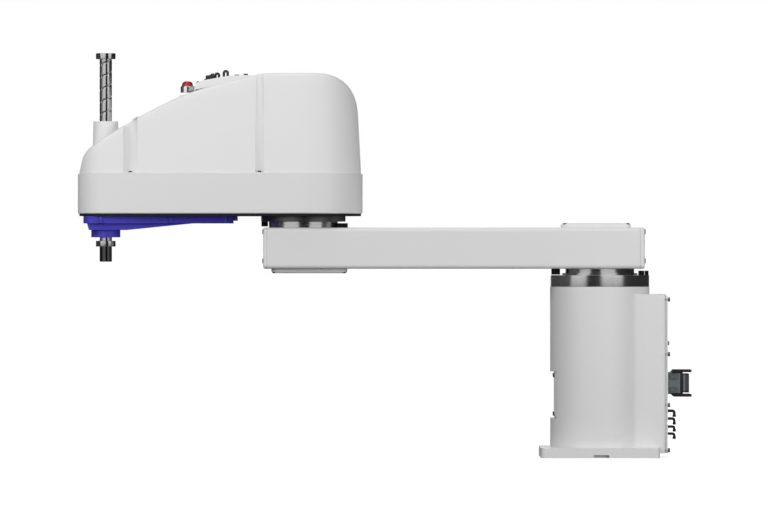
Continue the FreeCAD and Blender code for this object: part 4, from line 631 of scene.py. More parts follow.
def lathe(name: str, profile: Array, centre: Sequence[float], columns: int = 64,
          closed: bool = False, sharp: float = 35, level: bool = False) -> Piece:
    """A profile turned about an upright axis: x = radius cos a, y = radius sin a.

    About a level axis the same numbers stand for y, z and x.

    Args:
        name: the piece's name.
        profile: radius and height of each point, from the bottom outwards and up.
        centre: the axis' foot, in metres.
        columns: points round the turn.
        closed: whether the profile is a loop round a bore.
        sharp: the least angle in degrees of an edge that stays crisp.
        level: whether the axis lies along X.

    Returns:
        The new object.
    """
    angle = np.linspace(0, 2 * np.pi, columns, endpoint=False)[None, :]
    radius, height = profile[:, :1], profile[:, 1:]
    grid = np.stack([radius * np.cos(angle), radius * np.sin(angle), height + 0 * angle], -1)
    if level:
        grid = np.roll(grid, 1, -1)
    return skin(name, grid + np.array(centre), wrap_rows=closed, sharp=sharp)


def bar(name: str, outline: Array, half: float, edge: float) -> Piece:
    """An outline in the X-Z plane carried along Y, drawn in at both ends for a soft edge.

    At a depth d from an end the outline keeps its middle and loses edge (1 - cos a) on
    each side, with d = edge (1 - sin a).

    Args:
        name: the piece's name.
        outline: x and z of a loop that turns anticlockwise as seen from +Y.
        half: half its length along Y.
        edge: the soft edge's size.

    Returns:
        The new object.
    """
    middle = (outline.max(0) + outline.min(0)) / 2
    reach = (outline.max(0) - outline.min(0)) / 2
    angle = np.linspace(0, np.pi / 2, 4)
    lost = edge * (1 - np.sin(angle))
    deep = edge * (1 - np.cos(angle))
    lost = np.concatenate([lost, lost[::-1]])
    along = np.concatenate([-half + deep, half - deep[::-1]])
    shrink = 1 - lost[:, None] / reach[None, :]
    flat = middle + (outline - middle)[None, :, :] * shrink[:, None, :]
    y = np.broadcast_to(along[:, None], flat.shape[:2])
    return skin(name, np.stack([flat[..., 0], y, flat[..., 1]], -1), sharp=40)


def modify(piece: Piece, kind: str, **settings: object) -> None:
    """Adds a modifier of a kind, with its settings, to a piece."""
    modifier = piece.modifiers.new(kind.lower(), kind)
    for key, value in settings.items():
        setattr(modifier, key, value)


# Pieces and their places

@dataclass
class Assembly:
    """What every sub-assembly does: it makes its pieces and dresses its parts.

    Each line of finishes is a finish and the parts of the frame that wear it; the parts in
    eased have their sharp edges broken with a small bevel.
    """

    title: str = "assembly"
    finishes: tuple = ()
    eased: tuple = ()
    bevel: float = 0.6 * MM

    def dress(self, finish: Finish, *nodes: str) -> None:
        """Gives one finish to parts of the frame that keep their own shape."""
        for node in nodes:
            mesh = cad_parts[node].data
            mesh.materials.clear()
            mesh.materials.append(finish.paint())
            log.info("%s: %s wears %s", self.title, node, finish.value.name)

    def ease(self, node: str) -> None:
        """Joins a part's points, bevels its sharp edges and evens the normals beside them."""
        steps = (("WELD", {"merge_threshold": 1e-5}),
                 ("BEVEL", {"width": self.bevel, "segments": 2, "limit_method": "ANGLE",
                            "angle_limit": math.radians(50), "use_clamp_overlap": True}),
                 ("WEIGHTED_NORMAL", {"mode": "FACE_AREA", "weight": 100}))
        for kind, settings in steps:
            modify(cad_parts[node], kind, **settings)

    def add(self, piece: Piece, finish: Finish, body: str, slot: str,
            *stood_for: str) -> None:
        """Finishes a new piece, seats it on its body and reports it.

        Args:
            piece: the object.
            finish: what it is made of.
            body: the moving body that carries it.
            slot: not used.
            stood_for: parts of the frame that it stands for.
        """
        piece.data.materials.append(finish.paint())
        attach(piece, body)
        if stood_for:
            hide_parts(*stood_for)
        log.info("%s: %s of %d faces rides on %s", self.title, piece.name,
                 len(piece.data.polygons), body)

    def make(self) -> None:
        """Makes the pieces that the group adds to the frame's; most groups add none."""

    def build(self) -> None:
        """Makes the group's own pieces, then dresses and eases its parts of the frame."""
        self.make()
        for finish, *nodes in self.finishes:
            self.dress(finish, *nodes)
        for node in self.eased:
            self.ease(node)


@dataclass
class Pedestal(Assembly):
    """Column casting with its foot, its two plates and their screws."""

    title: str = "pedestal"
    finishes: tuple = ((Finish.BASE_PAINT, "base_casting", "base_front_cover",
                        "base_rear_plate"),
                       (Finish.PLAIN_STEEL, "base_cover_screws"))
    eased: tuple = ("base_front_cover",)
    bevel: float = 0.8 * MM


@dataclass
class RearConnectors(Assembly):
    """Power connector with its two locking levers, signal sockets and air fittings."""

    title: str = "rear connectors"
    finishes: tuple = ((Finish.GREY, "power_connector_housing"),
                       (Finish.CAP, "power_connector_cap"),
                       (Finish.LEVER, "connector_lever_upper", "connector_lever_lower"),
                       (Finish.BLACK, "base_air_fittings"),
                       (Finish.PLAIN_STEEL, "base_signal_connectors"))
    eased: tuple = ("power_connector_housing", "power_connector_cap",
                    "connector_lever_upper", "connector_lever_lower")
    bevel: float = 0.5 * MM
    wall_x: float = -135.3 * MM
    fitting_y: float = 22 * MM
    fittings: tuple = ((88.4, 7.6), (72.7, 7.6), (57.6, 6.6), (43.2, 6.8))
    pipe_radius: float = 2.8 * MM
    pipe_reach: float = 14.8 * MM
    bend: float = 4.5 * MM
    foot: tuple = ((0, 3.8), (2.4, 3.8), (2.7, 2.8))
    collar: tuple = ((-4.6, 2.8), (-4.3, 3.6), (-0.5, 3.6), (0, 3.0))
    gasket: tuple = ((-166.6, 126.8), (-166.6, 171.9), (-161.2, 171.9), (-161.2, 126.8))
    gasket_half: float = 42.6 * MM

    def fitting(self, number: int, height: float, half: float) -> None:
        """One elbow fitting: a foot on the wall, a bent pipe and a release collar.

        The pipe's middle line is an L with a softened corner. At each distance along it
        stands a ring, square to the line, with the radius that foot and collar give there.

        Args:
            number: which fitting it is, from the top.
            height: its middle's height in millimetres.
            half: half its own height in millimetres.
        """
        rise = half * MM - self.pipe_radius
        line = soften([(0, rise), (-self.pipe_reach, rise), (-self.pipe_reach, -half * MM)],
                      self.bend, 24)
        passed = np.append(0, np.cumsum(np.hypot(*np.diff(line, axis=0).T)))
        steps = np.array(self.foot + self.collar) * MM
        steps[len(self.foot):, 0] += passed[-1]
        along = np.sort(np.append(np.linspace(0, passed[-1], 40), steps[1:-1, 0]))[:, None]
        radius = np.interp(along, *steps.T)
        x, z = (np.interp(along, passed, values) for values in line.T)
        run, climb = (np.interp(along, passed, np.gradient(values, passed)) for values in line.T)
        slant = np.hypot(run, climb)
        turn = np.linspace(0, 2 * np.pi, 24, endpoint=False)
        grid = np.stack([self.wall_x + x - radius * np.cos(turn) * climb / slant,
                         self.fitting_y - radius * np.sin(turn),
                         height * MM + z + radius * np.cos(turn) * run / slant], -1)
        stood_for = ("base_air_fittings",) if number == 0 else ()
        self.add(skin(f"air_fitting_{number}", grid), Finish.BLACK, "base", "black_plastic",
                 *stood_for)

    def make(self) -> None:
        """Makes the fittings and the gasket."""
        for number, (height, half) in enumerate(self.fittings):
            self.fitting(number, height, half)
        outline = soften(np.array(self.gasket) * MM, 0.8 * MM, 4, closed=True)
        seal = bar("connector_gasket", outline, self.gasket_half, 0.8 * MM)
        self.add(seal, Finish.BLACK, "base", "black_plastic")


@dataclass
class FirstJoint(Assembly):
    """Turned bearing ring and flange of the shoulder, with its drive inside."""

    title: str = "first joint"
    finishes: tuple = ((Finish.FIRST_STEEL, "j1_bearing_ring", "j1_output_flange",
                        "j1_flexspline", "j1_circular_spline", "j1_wave_generator"),
                       (Finish.SCREWS, "j1_stop_bolts"),
                       (Finish.BLACK, "j1_stop_block"),
                       (Finish.MOTOR, "j1_motor"))
    eased: tuple = ("j1_bearing_ring", "j1_output_flange")


@dataclass
class FirstArm(Assembly):
    """The cast box arm with its end caps and covers."""

    title: str = "first arm"
    finishes: tuple = ((Finish.ARM_PAINT, "arm_one_casting", "arm_one_front_cap",
                        "arm_one_rear_cap", "arm_one_top_cover", "arm_one_bottom_cover"),
                       (Finish.SCREWS, "arm_one_fasteners"))
    low: float = 380.5 * MM
    high: float = 463.5 * MM
    half: float = 85 * MM
    corner: float = 8 * MM
    seams: tuple[float, float] = (672.5 * MM, -79.5 * MM)
    seam_width: float = 0.5 * MM
    seam_proud: float = 0.1 * MM
    seam_depth: float = 1 * MM
    ends: tuple[float, float] = (680 * MM, -88.5 * MM)
    end_screws: tuple = ((74, 396.5), (74, 455), (-74, 396.5), (-74, 455))
    washer: tuple = ((4.1, -0.6), (5.1, -0.6), (5.1, 1.7), (4.1, 1.7))

    def seam(self, name: str, x: float) -> Piece:
        """The joint line round the arm: a flat band carried round its section, coloured grey as
        painted shade of the joint's gap.

        The section is a rectangle with eased corners; the band stands a hair proud of it
        and is sunk by its depth, and each ring of the grid is the section at one x.

        Args:
            name: the piece's name.
            x: its middle along the arm.

        Returns:
            The band.
        """
        reach = np.array([self.half, (self.high - self.low) / 2])
        middle = np.array([0.0, (self.high + self.low) / 2])
        around = np.array([(-1, -1), (1, -1), (1, 1), (-1, 1)])
        outer, inner = (middle + soften(around * (reach + grown), self.corner, 9, closed=True)
                        for grown in (self.seam_proud, -self.seam_depth))
        step = self.seam_width / 2
        grid = np.stack([np.column_stack([np.full(len(loop), x + side), loop]) for loop, side in
                         ((inner, -step), (outer, -step), (outer, step), (inner, step))])
        return skin(name, grid, wrap_rows=True)

    def washers(self, name: str, x: float) -> None:
        """The raised dark washer round each screw of an end cap.

        Args:
            name: which end it is.
            x: where the end's face stands.
        """
        outward = 1 if x > 0 else -1
        loop = np.array(self.washer)[::outward] * [MM, MM * outward]
        for number, (y, z) in enumerate(self.end_screws):
            ring = lathe(f"arm_one_{name}_washer_{number}", soften(loop, 0.3 * MM, 3, closed=True),
                         (x, y * MM, z * MM), 40, closed=True, level=True)
            self.add(ring, Finish.BLACK, "arm_one", "black_screw")

    def make(self) -> None:
        """Lays the seam lines and sets the washers."""
        for name, seam, end in zip(("front", "rear"), self.seams, self.ends):
            band = self.seam(f"arm_one_{name}_seam", seam)
            # The band is a real sunk groove; its grey colour is painted shade.
            self.add(band, Finish.SEAM, "arm_one", "grey_plastic")
            self.washers(name, end)


@dataclass
class SecondJoint(Assembly):
    """Elbow flange and satin ring between the arms, with the drive inside."""

    title: str = "second joint"
    finishes: tuple = ((Finish.ELBOW_STEEL, "j2_lower_flange", "j2_circular_spline",
                        "j2_flexspline", "j2_wave_generator"),
                       (Finish.ELBOW_RING, "j2_upper_ring"),
                       (Finish.SCREWS, "j2_stop_lug"),
                       (Finish.BLACK, "j2_stop_posts"),
                       (Finish.MOTOR, "j2_motor"))
    eased: tuple = ("j2_lower_flange", "j2_upper_ring")


@dataclass(frozen=True)
class Channel:
    """An upright half-round channel in the cover's side, with a screw at its foot."""

    x: float
    radius: float


@dataclass
class SecondArm(Assembly):
    """Cast tray, a dark bottom plate that is painted shade of the tray's underside, and the tall
    moulded cover with its softened brow.

    The cover's columns go round its plan: one straight side, the nose's arc, the other
    side and the rear's arc. A pair of turns is the angles of the nose's and the rear's.
    """

    title: str = "second arm"
    finishes: tuple = ((Finish.ARM_PAINT, "arm_two_casting"),
                       # The bottom plate's dark colour is painted shade of the casting's underside.
                       (Finish.PLATE, "arm_two_bottom_plate"),
                       (Finish.SCREWS, "arm_two_screws"))
    eased: tuple = ("arm_two_casting",)
    bevel: float = 0.7 * MM
    rear_x: float = 592 * MM
    nose_x: float = 1000 * MM
    rear_radius: float = 109 * MM
    nose_radius: float = 53.5 * MM
    seat: float = 572 * MM
    draft: float = math.radians(1.5)
    rear_draft: float = math.radians(1.75)
    brow: float = 6.5 * MM
    wall: float = 3 * MM
    ledge: float = 3 * MM
    hole: float = 24 * MM
    hole_from: float = 0.86
    channels: tuple = (Channel(948.5 * MM, 14.5 * MM), Channel(687 * MM, 9 * MM))
    sleeve: tuple = ((27, 602), (25, 678.7), (22, 678.7), (22, 602))
    corners: tuple = ((1053.5, 572, 0), (1043.8, 616.7, 24), (974.5, 663.1, 38),
                      (835.8, 737.2, 72), (681, 774.5, 19), (493.5, 774.5, 84), (483, 572, 0))
    columns: tuple[int, int, int] = (46, 50, 90)
    rows: tuple[int, int, int] = (13, 9, 34)
    crowding: float = 2.2

    @cached_property
    def lean(self) -> float:
        """The angle between a straight side and the arm's length."""
        return math.asin((self.rear_radius - self.nose_radius) / (self.nose_x - self.rear_x))

    @cached_property
    def meet(self) -> float:
        """The angle at which the arcs meet the straight sides."""
        return math.pi / 2 - self.lean

    @cached_property
    def turns(self) -> tuple[Array, Array]:
        """The angles of the columns round the nose and round the rear."""
        return (np.linspace(-self.meet, self.meet, self.columns[1])[1:-1],
                np.linspace(self.meet, 2 * math.pi - self.meet, self.columns[2])[1:-1])

    @cached_property
    def places(self) -> Array:
        """The columns along a straight side from its rear end, closer in the channels.

        Returns:
            Distances along the side, in metres.
        """
        length = (self.nose_x - self.rear_x) * math.cos(self.lean)
        places = np.linspace(0, length, self.columns[0])
        for channel in self.channels:
            middle = self.along(channel)
            clear = places[np.abs(places - middle) > 1.15 * channel.radius]
            near = channel.radius * np.sin(np.linspace(-np.pi / 2, np.pi / 2, 19))
            places = np.union1d(clear, middle + near)
        return places

    def along(self, channel: Channel) -> float:
        """Where a channel's middle stands along a straight side."""
        start = self.rear_x + self.rear_radius * math.sin(self.lean)
        return (channel.x - start) / math.cos(self.lean)

    def height(self, x: Array) -> Array:
        """Height of the top at each x: its corners eased by the cuts beside them.

        Args:
            x: places along the arm.

        Returns:
            The top's height at each.
        """
        table = np.array(self.corners)
        line = soften(table[:, :2], table[:, 2], 24)[::-1] * MM
        return np.interp(x, line[:, 0], line[:, 1])

    def shifted(self, places: Array, drawn_in: Array) -> tuple[Array, Array]:
        """Moves places along a side so that they follow the channels' edges.

        Where the side is drawn in by w, a channel of radius R opens over e = sqrt(R R - w w)
        each way; places inside it are squeezed to that width and lie sqrt(R R - s s) deep,
        and places up to 2 R away are stretched to fill what is left.

        Args:
            places: distance along the side, one for each column.
            drawn_in: how far the plain side is drawn in there.

        Returns:
            The new places and how deep each one lies.
        """
        moved, deep = places, drawn_in
        for channel in self.channels:
            radius, middle = channel.radius, self.along(channel)
            step = places - middle
            away = np.abs(step)
            opening = np.sqrt(np.maximum(radius ** 2 - drawn_in ** 2, 1e-9))
            squeezed = np.clip(step / radius, -1, 1) * opening
            beyond = (away - radius) * (2 * radius - opening) / radius
            stretched = np.sign(step) * (opening + beyond)
            inside = away <= radius * 1.0001
            moved = np.select([inside, away < 2 * radius],
                              [middle + squeezed, middle + stretched], moved)
            cut = np.sqrt(np.maximum(radius ** 2 - squeezed ** 2, 0))
            deep = np.where(inside, np.maximum(cut, drawn_in), deep)
        return moved, deep

    def ring(self, drawn_in: Array, cut: bool = True) -> tuple[Array, Array]:
        """Plan positions round the cover and their inward directions.

        Args:
            drawn_in: how far each column is drawn in from the seat's outline.
            cut: whether the channels are there.

        Returns:
            Positions and inward unit vectors, one line for each column.
        """
        side, nose = len(self.places), len(self.turns[0])
        first, front, second, rear = np.split(drawn_in, np.cumsum([side, nose, side]))
        outward = np.array([math.cos(self.meet), math.sin(self.meet)])
        run = np.array([math.cos(self.lean), -math.sin(self.lean)])
        start = np.array([self.rear_x, 0]) + self.rear_radius * outward
        spots, inward = [], []
        for part, sign in ((first, -1), (second, 1)):
            moved, deep = self.shifted(self.places[::-sign], part)
            spot = start + moved[:, None] * run - (deep if cut else part)[:, None] * outward
            spots.append(spot * [1, sign])
            inward.append(np.broadcast_to(-outward * [1, sign], spot.shape))
        for part, turn, middle, radius in (
                (front, self.turns[0], self.nose_x, self.nose_radius),
                (rear, self.turns[1], self.rear_x, self.rear_radius)):
            out = np.column_stack([np.cos(turn), np.sin(turn)])
            spots.append(np.array([middle, 0]) + (radius - part)[:, None] * out)
            inward.append(-out)
        return tuple(np.vstack([parts[i] for i in (0, 2, 1, 3)]) for parts in (spots, inward))

    def spine(self) -> Array:
        """Where each column of the top ends: the middle line, then the shaft's round hole.

        Returns:
            Positions seen from above, one line for each column.
        """
        share = self.places / self.places[-1]
        bend = np.clip((share - self.hole_from) / (1 - self.hole_from), 0, 1)
        length = self.nose_x - self.hole - self.rear_x
        line_x = self.rear_x + length * np.clip(share / self.hole_from, 0, 1)
        angle = math.pi + (self.meet - math.pi) * bend
        round_x = self.nose_x + self.hole * np.cos(angle)
        side = np.column_stack([np.where(bend > 0, round_x, line_x),
                                np.where(bend > 0, self.hole * np.sin(angle), 0)])
        turn, rear = self.turns
        nose = np.column_stack([self.nose_x + self.hole * np.cos(turn), self.hole * np.sin(turn)])
        middle = np.tile([self.rear_x, 0.0], (len(rear), 1))
        return np.vstack([side * [1, -1], nose, side[::-1], middle])

    def cover(self) -> Piece:
        """The cover's skin, walled inwards.

        Each column climbs the drafted side, rounds the brow and crosses the top to the
        middle line. On the side at height z the plan is drawn in by (z - seat) tan draft;
        round the rear, at an angle a, the draft grows by the rear draft times cos(a) squared.
        On the brow, at an angle a, the point goes in by brow (1 - cos a) and hangs
        brow (1 - sin a) under the side view's height at its own x.

        Returns:
            The cover.
        """
        ends, rear = self.spine(), self.turns[1]
        lean = np.full(len(ends), self.draft)
        lean[-len(rear):] += self.rear_draft * np.clip(-np.cos(rear), 0, 1) ** 2
        slope = np.tan(lean)
        level = self.ledge * slope
        plan, inward = self.ring(level)
        for _round in range(4):
            crest = self.height(plan[:, 0])
            plan, inward = self.ring((crest - self.seat) * slope)
        tall = crest - self.seat
        soft = np.minimum(self.brow, 0.45 * np.maximum(tall - self.ledge, 0))
        foot = np.minimum(self.ledge, 0.5 * tall)
        rows = [(0 * level, self.seat + 0 * level, False),
                (level, self.seat + self.ledge + 0 * level, False)]
        for share in np.linspace(0, 1, self.rows[0]):
            z = self.seat + foot + (tall - soft - foot) * share
            rows.append(((z - self.seat) * slope, z, True))
        grid = []
        for drawn_in, z, cut in rows:
            spots, _ = self.ring(drawn_in, cut)
            z = np.minimum(z, np.maximum(self.height(spots[:, 0]), self.seat))
            grid.append(np.column_stack([spots, z]))
        for angle in np.linspace(0, np.pi / 2, self.rows[1])[1:]:
            spots = plan + inward * (soft * (1 - math.cos(angle)))[:, None]
            z = self.height(spots[:, 0]) - soft * (1 - math.sin(angle))
            grid.append(np.column_stack([spots, np.maximum(z, self.seat)]))
        rim = plan + inward * soft[:, None]
        for share in (np.linspace(0, 1, self.rows[2]) ** self.crowding)[1:]:
            spots = rim + (ends - rim) * share
            grid.append(np.column_stack([spots, self.height(spots[:, 0])]))
        piece = skin("arm_two_soft_cover", np.stack(grid), caps=False, sharp=32)
        modify(piece, "WELD", merge_threshold=2e-6)
        modify(piece, "SOLIDIFY", thickness=self.wall, offset=-1)
        return piece

    def make(self) -> None:
        """Makes the cover and its sleeve."""
        self.add(self.cover(), Finish.COVER, "arm_two", "cover_plastic", "arm_two_cover")
        ring = soften(np.array(self.sleeve) * MM, 0.9 * MM, 5, closed=True)
        collar = lathe("shaft_sleeve", ring, (self.nose_x, 0, 0), closed=True)
        self.add(collar, Finish.COVER, "arm_two", "cover_plastic")


@dataclass
class ShaftGuard(Assembly):
    """Blue moulded guard under the second arm."""

    title: str = "shaft guard"
    finishes: tuple = ((Finish.GUARD, "shaft_guard"),)
    eased: tuple = ("shaft_guard",)
    bevel: float = 1 * MM
    low: float = 472.4 * MM
    high: float = 486.7 * MM
    half: float = 45 * MM
    bosses: tuple = ((1008, 5.2, 4.0), (867, 5.2, 4.0), (749, 1.4, 1.1))

    def boss(self, name: str, x: float, y: float, radius: float) -> None:
        """A round boss up the guard's side, with its ends eased.

        Args:
            name: the piece's name.
            x: its axis' place along the arm.
            y: its axis' place across it.
            radius: its radius.
        """
        corners = np.array([(0, self.low), (radius, self.low), (radius, self.high), (0, self.high)])
        piece = lathe(name, soften(corners, 0.8 * MM, 4), (x, y, 0), 32)
        self.add(piece, Finish.GUARD, "arm_two", "blue_plastic")

    def make(self) -> None:
        """Stands the bosses on both sides."""
        for x, radius, proud in self.bosses:
            for name, side in (("back", -1), ("front", 1)):
                y = side * (self.half + (proud - radius) * MM)
                self.boss(f"guard_boss_{x}_{name}", x * MM, y, radius * MM)


@dataclass
class ToolShaft(Assembly):
    """Hollow spline shaft with ball tracks, and its two stop rings."""

    title: str = "tool shaft"
    finishes: tuple = ((Finish.SHAFT_STEEL, "shaft_stop_rings"),)
    eased: tuple = ("shaft_stop_rings",)
    bevel: float = 0.5 * MM
    axis_x: float = 1000 * MM
    radius: float = 12.5 * MM
    bore: float = 9 * MM
    tip: float = 394.6 * MM
    top: float = 816.5 * MM
    tracked_from: float = 425.2 * MM
    run_out: float = 0.05 * MM
    chamfer: float = 1 * MM
    straight_tracks: int = 3
    first_track: float = math.radians(53)
    straight_half: float = 1.7 * MM
    lead: float = 25 * MM
    helix_half: float = 1.6 * MM
    helix_depth: float = 0.8 * MM
    helix_start: float = 16.2 * MM
    depth: float = 1.3 * MM
    columns: int = 120
    rows: int = 330

    def shaft(self) -> Piece:
        """The shaft's skin.

        The radius at an angle a and height z is the shaft's less the deeper of two round
        hollows: straight tracks at every third of a turn, and a shallower track that climbs
        one lead in a turn. A hollow is depth sqrt(1 - (distance / half width) squared) deep.

        Returns:
            The shaft.
        """
        angle = np.linspace(0, 2 * np.pi, self.columns, endpoint=False)[None, :]
        tracked = np.linspace(self.tracked_from, self.top - self.chamfer, self.rows)
        z = np.append([self.tip, self.tip + self.chamfer, self.tracked_from - self.run_out],
                      tracked)[:, None]
        share = 2 * np.pi / self.straight_tracks
        off = (angle - self.first_track + share / 2) % share - share / 2
        straight = np.abs(off) * self.radius / self.straight_half
        rise = z - self.helix_start - self.lead * angle / (2 * np.pi)
        off_helix = (rise + self.lead / 2) % self.lead - self.lead / 2
        pitch = math.atan(self.lead / (2 * math.pi * self.radius))
        helix = np.abs(off_helix) * math.cos(pitch) / self.helix_half
        hollow = np.maximum(self.depth * np.sqrt(np.clip(1 - straight ** 2, 0, None)),
                            self.helix_depth * np.sqrt(np.clip(1 - helix ** 2, 0, None)))
        radius = self.radius - np.where(z >= self.tracked_from, hollow, 0)
        radius[0, :] = self.radius - self.chamfer
        rim = np.minimum(radius[-1:, :], self.radius - self.chamfer)
        radius = np.vstack([radius, rim, np.full((2, self.columns), self.bore)])
        z = np.vstack([z, [[self.top], [self.top], [self.tip]]])
        grid = np.stack([self.axis_x + radius * np.cos(angle), radius * np.sin(angle),
                         z + 0 * angle], -1)
        return skin("tracked_shaft", grid, wrap_rows=True, sharp=28)

    def make(self) -> None:
        """Makes the shaft."""
        self.add(self.shaft(), Finish.SHAFT_STEEL, "shaft", "hardened_shaft", "tool_shaft")


@dataclass
class InnerDrive(Assembly):
    """Nuts, pulleys, belts and motors that lift and turn the shaft."""

    title: str = "inner drive"
    finishes: tuple = ((Finish.ALUMINIUM, "nut_bearing_housing", "spline_nut_pulley",
                        "shaft_nut_bracket", "ball_nut_pulley", "turn_motor_pulley",
                        "lift_motor_pulley", "motor_brackets"),
                       (Finish.SHAFT_STEEL, "spline_nut", "ball_screw_nut",
                        "shaft_nut_bearings"),
                       (Finish.BELT, "turn_belt", "lift_belt"),
                       (Finish.MOTOR, "lift_motor", "turn_motor"))


@dataclass
class StatusLamp(Assembly):
    """Red lamp on its chromed ring and moulded pedestal."""

    title: str = "status lamp"
    finishes: tuple = ((Finish.CHROME, "status_lamp_base"),)
    eased: tuple = ("status_lamp_base",)
    bevel: float = 0.3 * MM
    x: float = 834.6 * MM
    pedestal: tuple = ((856.1, 702), (856.1, 720.9), (849.1, 731.9), (816.6, 731.9), (816.6, 702))
    pedestal_half: float = 17 * MM
    dome_low: float = 744 * MM
    dome_foot: float = 750.4 * MM
    dome_radius: float = 11.4 * MM
    dome_height: float = 10 * MM
    spigot: float = 10.4 * MM

    def lens(self) -> Piece:
        """The lens: r = radius cos(t) to the 0.7, z = foot + height sin t, on a short spigot.

        Returns:
            The lens.
        """
        turn = np.linspace(0, np.pi / 2, 14)
        dome = np.column_stack([self.dome_radius * np.cos(turn) ** 0.7,
                                self.dome_foot + self.dome_height * np.sin(turn)])
        foot = np.array([(0, self.dome_low), (self.spigot, self.dome_low),
                         (self.spigot, self.dome_foot)])
        return lathe("lamp_dome", np.vstack([foot, dome]), (self.x, 0, 0), 72, sharp=50)

    def make(self) -> None:
        """Makes the pedestal and the domed lens."""
        outline = soften(np.array(self.pedestal[::-1]) * MM, 2.5 * MM, 5, closed=True)
        stand = bar("lamp_pedestal", outline, self.pedestal_half, 3 * MM)
        self.add(stand, Finish.COVER, "arm_two", "cover_plastic")
        self.add(self.lens(), Finish.LENS, "arm_two", "red_lens", "status_lamp_lens")


@dataclass
class UserPanel(Assembly):
    """Panel on the cover's slope with its sockets, fittings and button."""

    title: str = "user panel"
    finishes: tuple = ((Finish.COVER, "user_panel"),
                       (Finish.BRASS, "button_bezel"),
                       (Finish.BLACK, "brake_release_button"),
                       (Finish.PANEL_PARTS, "user_signal_connectors", "user_fittings"))
    eased: tuple = ("user_panel",)
    bevel: float = 0.8 * MM


ROBOT = (Pedestal, RearConnectors, FirstJoint, FirstArm, SecondJoint, SecondArm, ShaftGuard,
         ToolShaft, InnerDrive, StatusLamp, UserPanel)


# Studio

@dataclass(frozen=True)
class Softbox:
    """A square lamp that faces a point."""

    name: str
    at: Point
    aim: Point
    size: tuple[float, float]
    power: float


@dataclass(frozen=True)
class Card:
    """A dark upright card, seen from above as a line between two points."""

    name: str
    start: tuple[float, float]
    end: tuple[float, float]
    tone: float


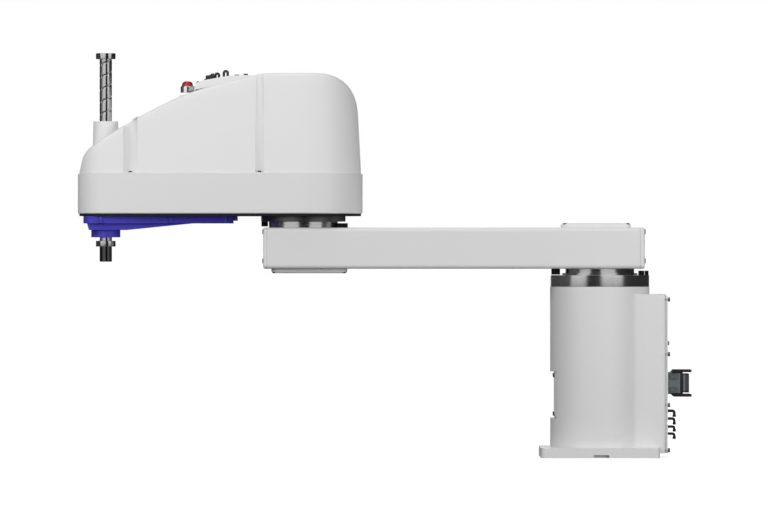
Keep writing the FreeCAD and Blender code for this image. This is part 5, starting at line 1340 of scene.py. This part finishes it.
@dataclass
class Studio:
    """Pale floor, white surroundings, soft lamps, dark cards and the camera.

    Two soft lamps stand before the object, left and right of the camera. Polished metal
    mirrors them as white bands, the gap between them and the room's sides as dark ones:
    here the surroundings give the white and the cards the dark.
    """

    floor_reach: float = 30.0
    floor_drop: float = 0.4 * MM
    floor_tones: tuple[float, float] = (0.15, 0.16)
    floor_catch: float = 0.4
    floor_glow: tuple[float, float] = (0.80, 1.0)
    floor_even: tuple[float, float] = (0.8, 3.0)
    ambient: float = 0.08
    card_height: float = 7.0
    card_foot: float = -0.2
    camera_at: Point = (0.4377, 15.0, 0.4072)
    sensor: float = 36.0
    millimetres_a_pixel: float = 2.0247
    clip_end: float = 200.0
    cards: tuple = (Card("gap", (-0.05, 1.65), (1.03, 1.65), 0.02),
                    Card("left_side", (2.84, 0.98), (3.0, -9.0), 0.06),
                    Card("right_side", (-1.07, 0.84), (-1.2, -9.0), 0.03))
    lamps: tuple = (
        Softbox("left", (2.83, 2.10, 1.7), (2.27, 0.0, 1.4), (3.1, 2.5), 77.0),
        Softbox("right", (-1.17, 1.99, 0.75), (-0.2, 0.7, 0.5), (2.1, 1.8), 39.0),
        Softbox("top", (0.45, 0.2, 2.6), (0.45, 0.0, 0.0), (2.6, 1.6), 13.0),
        Softbox("back", (0.4, -3.2, 1.6), (0.4, 0.0, 0.4), (2.4, 2.0), 75.0),
    )

    def seen(self, bench: Bench, *kinds: str) -> Signal:
        """1 for rays of the kinds named, such as the camera's, and 0 for all others.

        Args:
            bench: where the nodes are made.
            kinds: kinds of ray as Light Path names them.

        Returns:
            The mask.
        """
        path = bench.node("LightPath")
        total = Signal(bench, path.outputs[f"Is {kinds[0]} Ray"])
        for kind in kinds[1:]:
            total = total + Signal(bench, path.outputs[f"Is {kind} Ray"])
        return total.at_most(1.0)

    def surroundings(self) -> None:
        """A white world that lights the object only at the ambient level."""
        bench = Bench(bpy.data.worlds.new("surroundings"))
        white = self.seen(bench, "Camera", "Glossy", "Transmission")
        level = self.ambient + white * (1 - self.ambient)
        sky = bench.node("Background", {"Color": (1, 1, 1), "Strength": level})
        bpy.context.scene.world = bench.end(sky)

    def floor(self) -> None:
        """A pale floor that looks white and keeps a faint shadow.

        Its own glow rises with the distance from the object, as the lamps' light fades.
        """
        line = np.linspace(-self.floor_reach, self.floor_reach, 3)
        x, y = np.meshgrid(line, line)
        grid = np.stack([x, y, np.full_like(x, -self.floor_drop)], -1)
        ground = skin("studio_floor", grid, wrap_columns=False, caps=False)
        bench = Bench.named("studio_floor_paint")
        pale = bench.blend(bench.noise(3, 2), *((tone,) * 3 for tone in self.floor_tones))
        plain = bench.node("BsdfDiffuse", {"Color": pale})
        catch = bench.node("BsdfDiffuse", {"Color": (self.floor_catch,) * 3})
        start, end = self.floor_even
        away = (bench.polar()[2] - start) / (end - start)
        tone = bench.blend(away, *((level,) * 3 for level in self.floor_glow))
        glow = bench.node("Emission", {"Color": tone, "Strength": 1.0})
        shown = bench.node("AddShader", {0: catch, 1: glow})
        direct = self.seen(bench, "Camera", "Transmission")
        mixed = bench.node("MixShader", {0: direct, 1: plain, 2: shown})
        ground.data.materials.append(bench.end(mixed))

    def card(self, card: Card) -> None:
        """One dark card, which only polished metal mirrors.

        Args:
            card: its ends, name and tone.
        """
        ends = np.array([card.start, card.end])
        z = np.array([[self.card_foot], [self.card_height]])
        grid = np.stack([ends[None, :, 0] + 0 * z, ends[None, :, 1] + 0 * z,
                         z + 0 * ends[None, :, 0]], -1)
        sheet = skin(f"dark_card_{card.name}", grid, wrap_columns=False, caps=False)
        bench = Bench.named(f"dark_card_paint_{card.name}")
        paint = bench.node("Emission", {"Color": (card.tone,) * 3, "Strength": 1.0})
        sheet.data.materials.append(bench.end(paint))
        for kind in ("camera", "diffuse", "shadow", "transmission", "volume_scatter"):
            setattr(sheet, f"visible_{kind}", False)

    def light(self, lamp: Softbox) -> None:
        """One soft lamp, turned to face its aim.

        Args:
            lamp: its place, aim, size and power.
        """
        data = bpy.data.lights.new(lamp.name, "AREA")
        data.shape = "RECTANGLE"
        data.size, data.size_y = lamp.size
        data.energy = lamp.power
        made = linked(lamp.name, data)
        made.location = lamp.at
        facing = Vector(np.array(lamp.aim) - np.array(lamp.at))
        made.rotation_mode = "QUATERNION"
        made.rotation_quaternion = facing.to_track_quat("-Z", "Y")
        made.visible_camera = False
        made.visible_glossy = False

    def camera(self) -> None:
        """The camera, level and square to the arm's side."""
        data = bpy.data.cameras.new("photo_camera")
        data.sensor_width = self.sensor
        width = PHOTO_WIDTH * self.millimetres_a_pixel * MM
        data.lens = self.sensor * self.camera_at[1] / width
        data.clip_end = self.clip_end
        made = linked("photo_camera", data)
        made.location = self.camera_at
        made.rotation_euler = (math.pi / 2, 0, math.pi)
        bpy.context.scene.camera = made

    def build(self) -> None:
        """Sets the whole studio up."""
        bpy.context.scene.view_settings.view_transform = "Standard"
        self.camera()
        self.surroundings()
        self.floor()
        for card in self.cards:
            self.card(card)
        for lamp in self.lamps:
            self.light(lamp)


def main() -> None:
    """Builds the studio and every sub-assembly in order."""
    logging.basicConfig(level=logging.INFO, format="%(message)s")
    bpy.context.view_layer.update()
    Studio().build()
    for group in ROBOT:
        group().build()


if __name__ == "__main__":
    main()
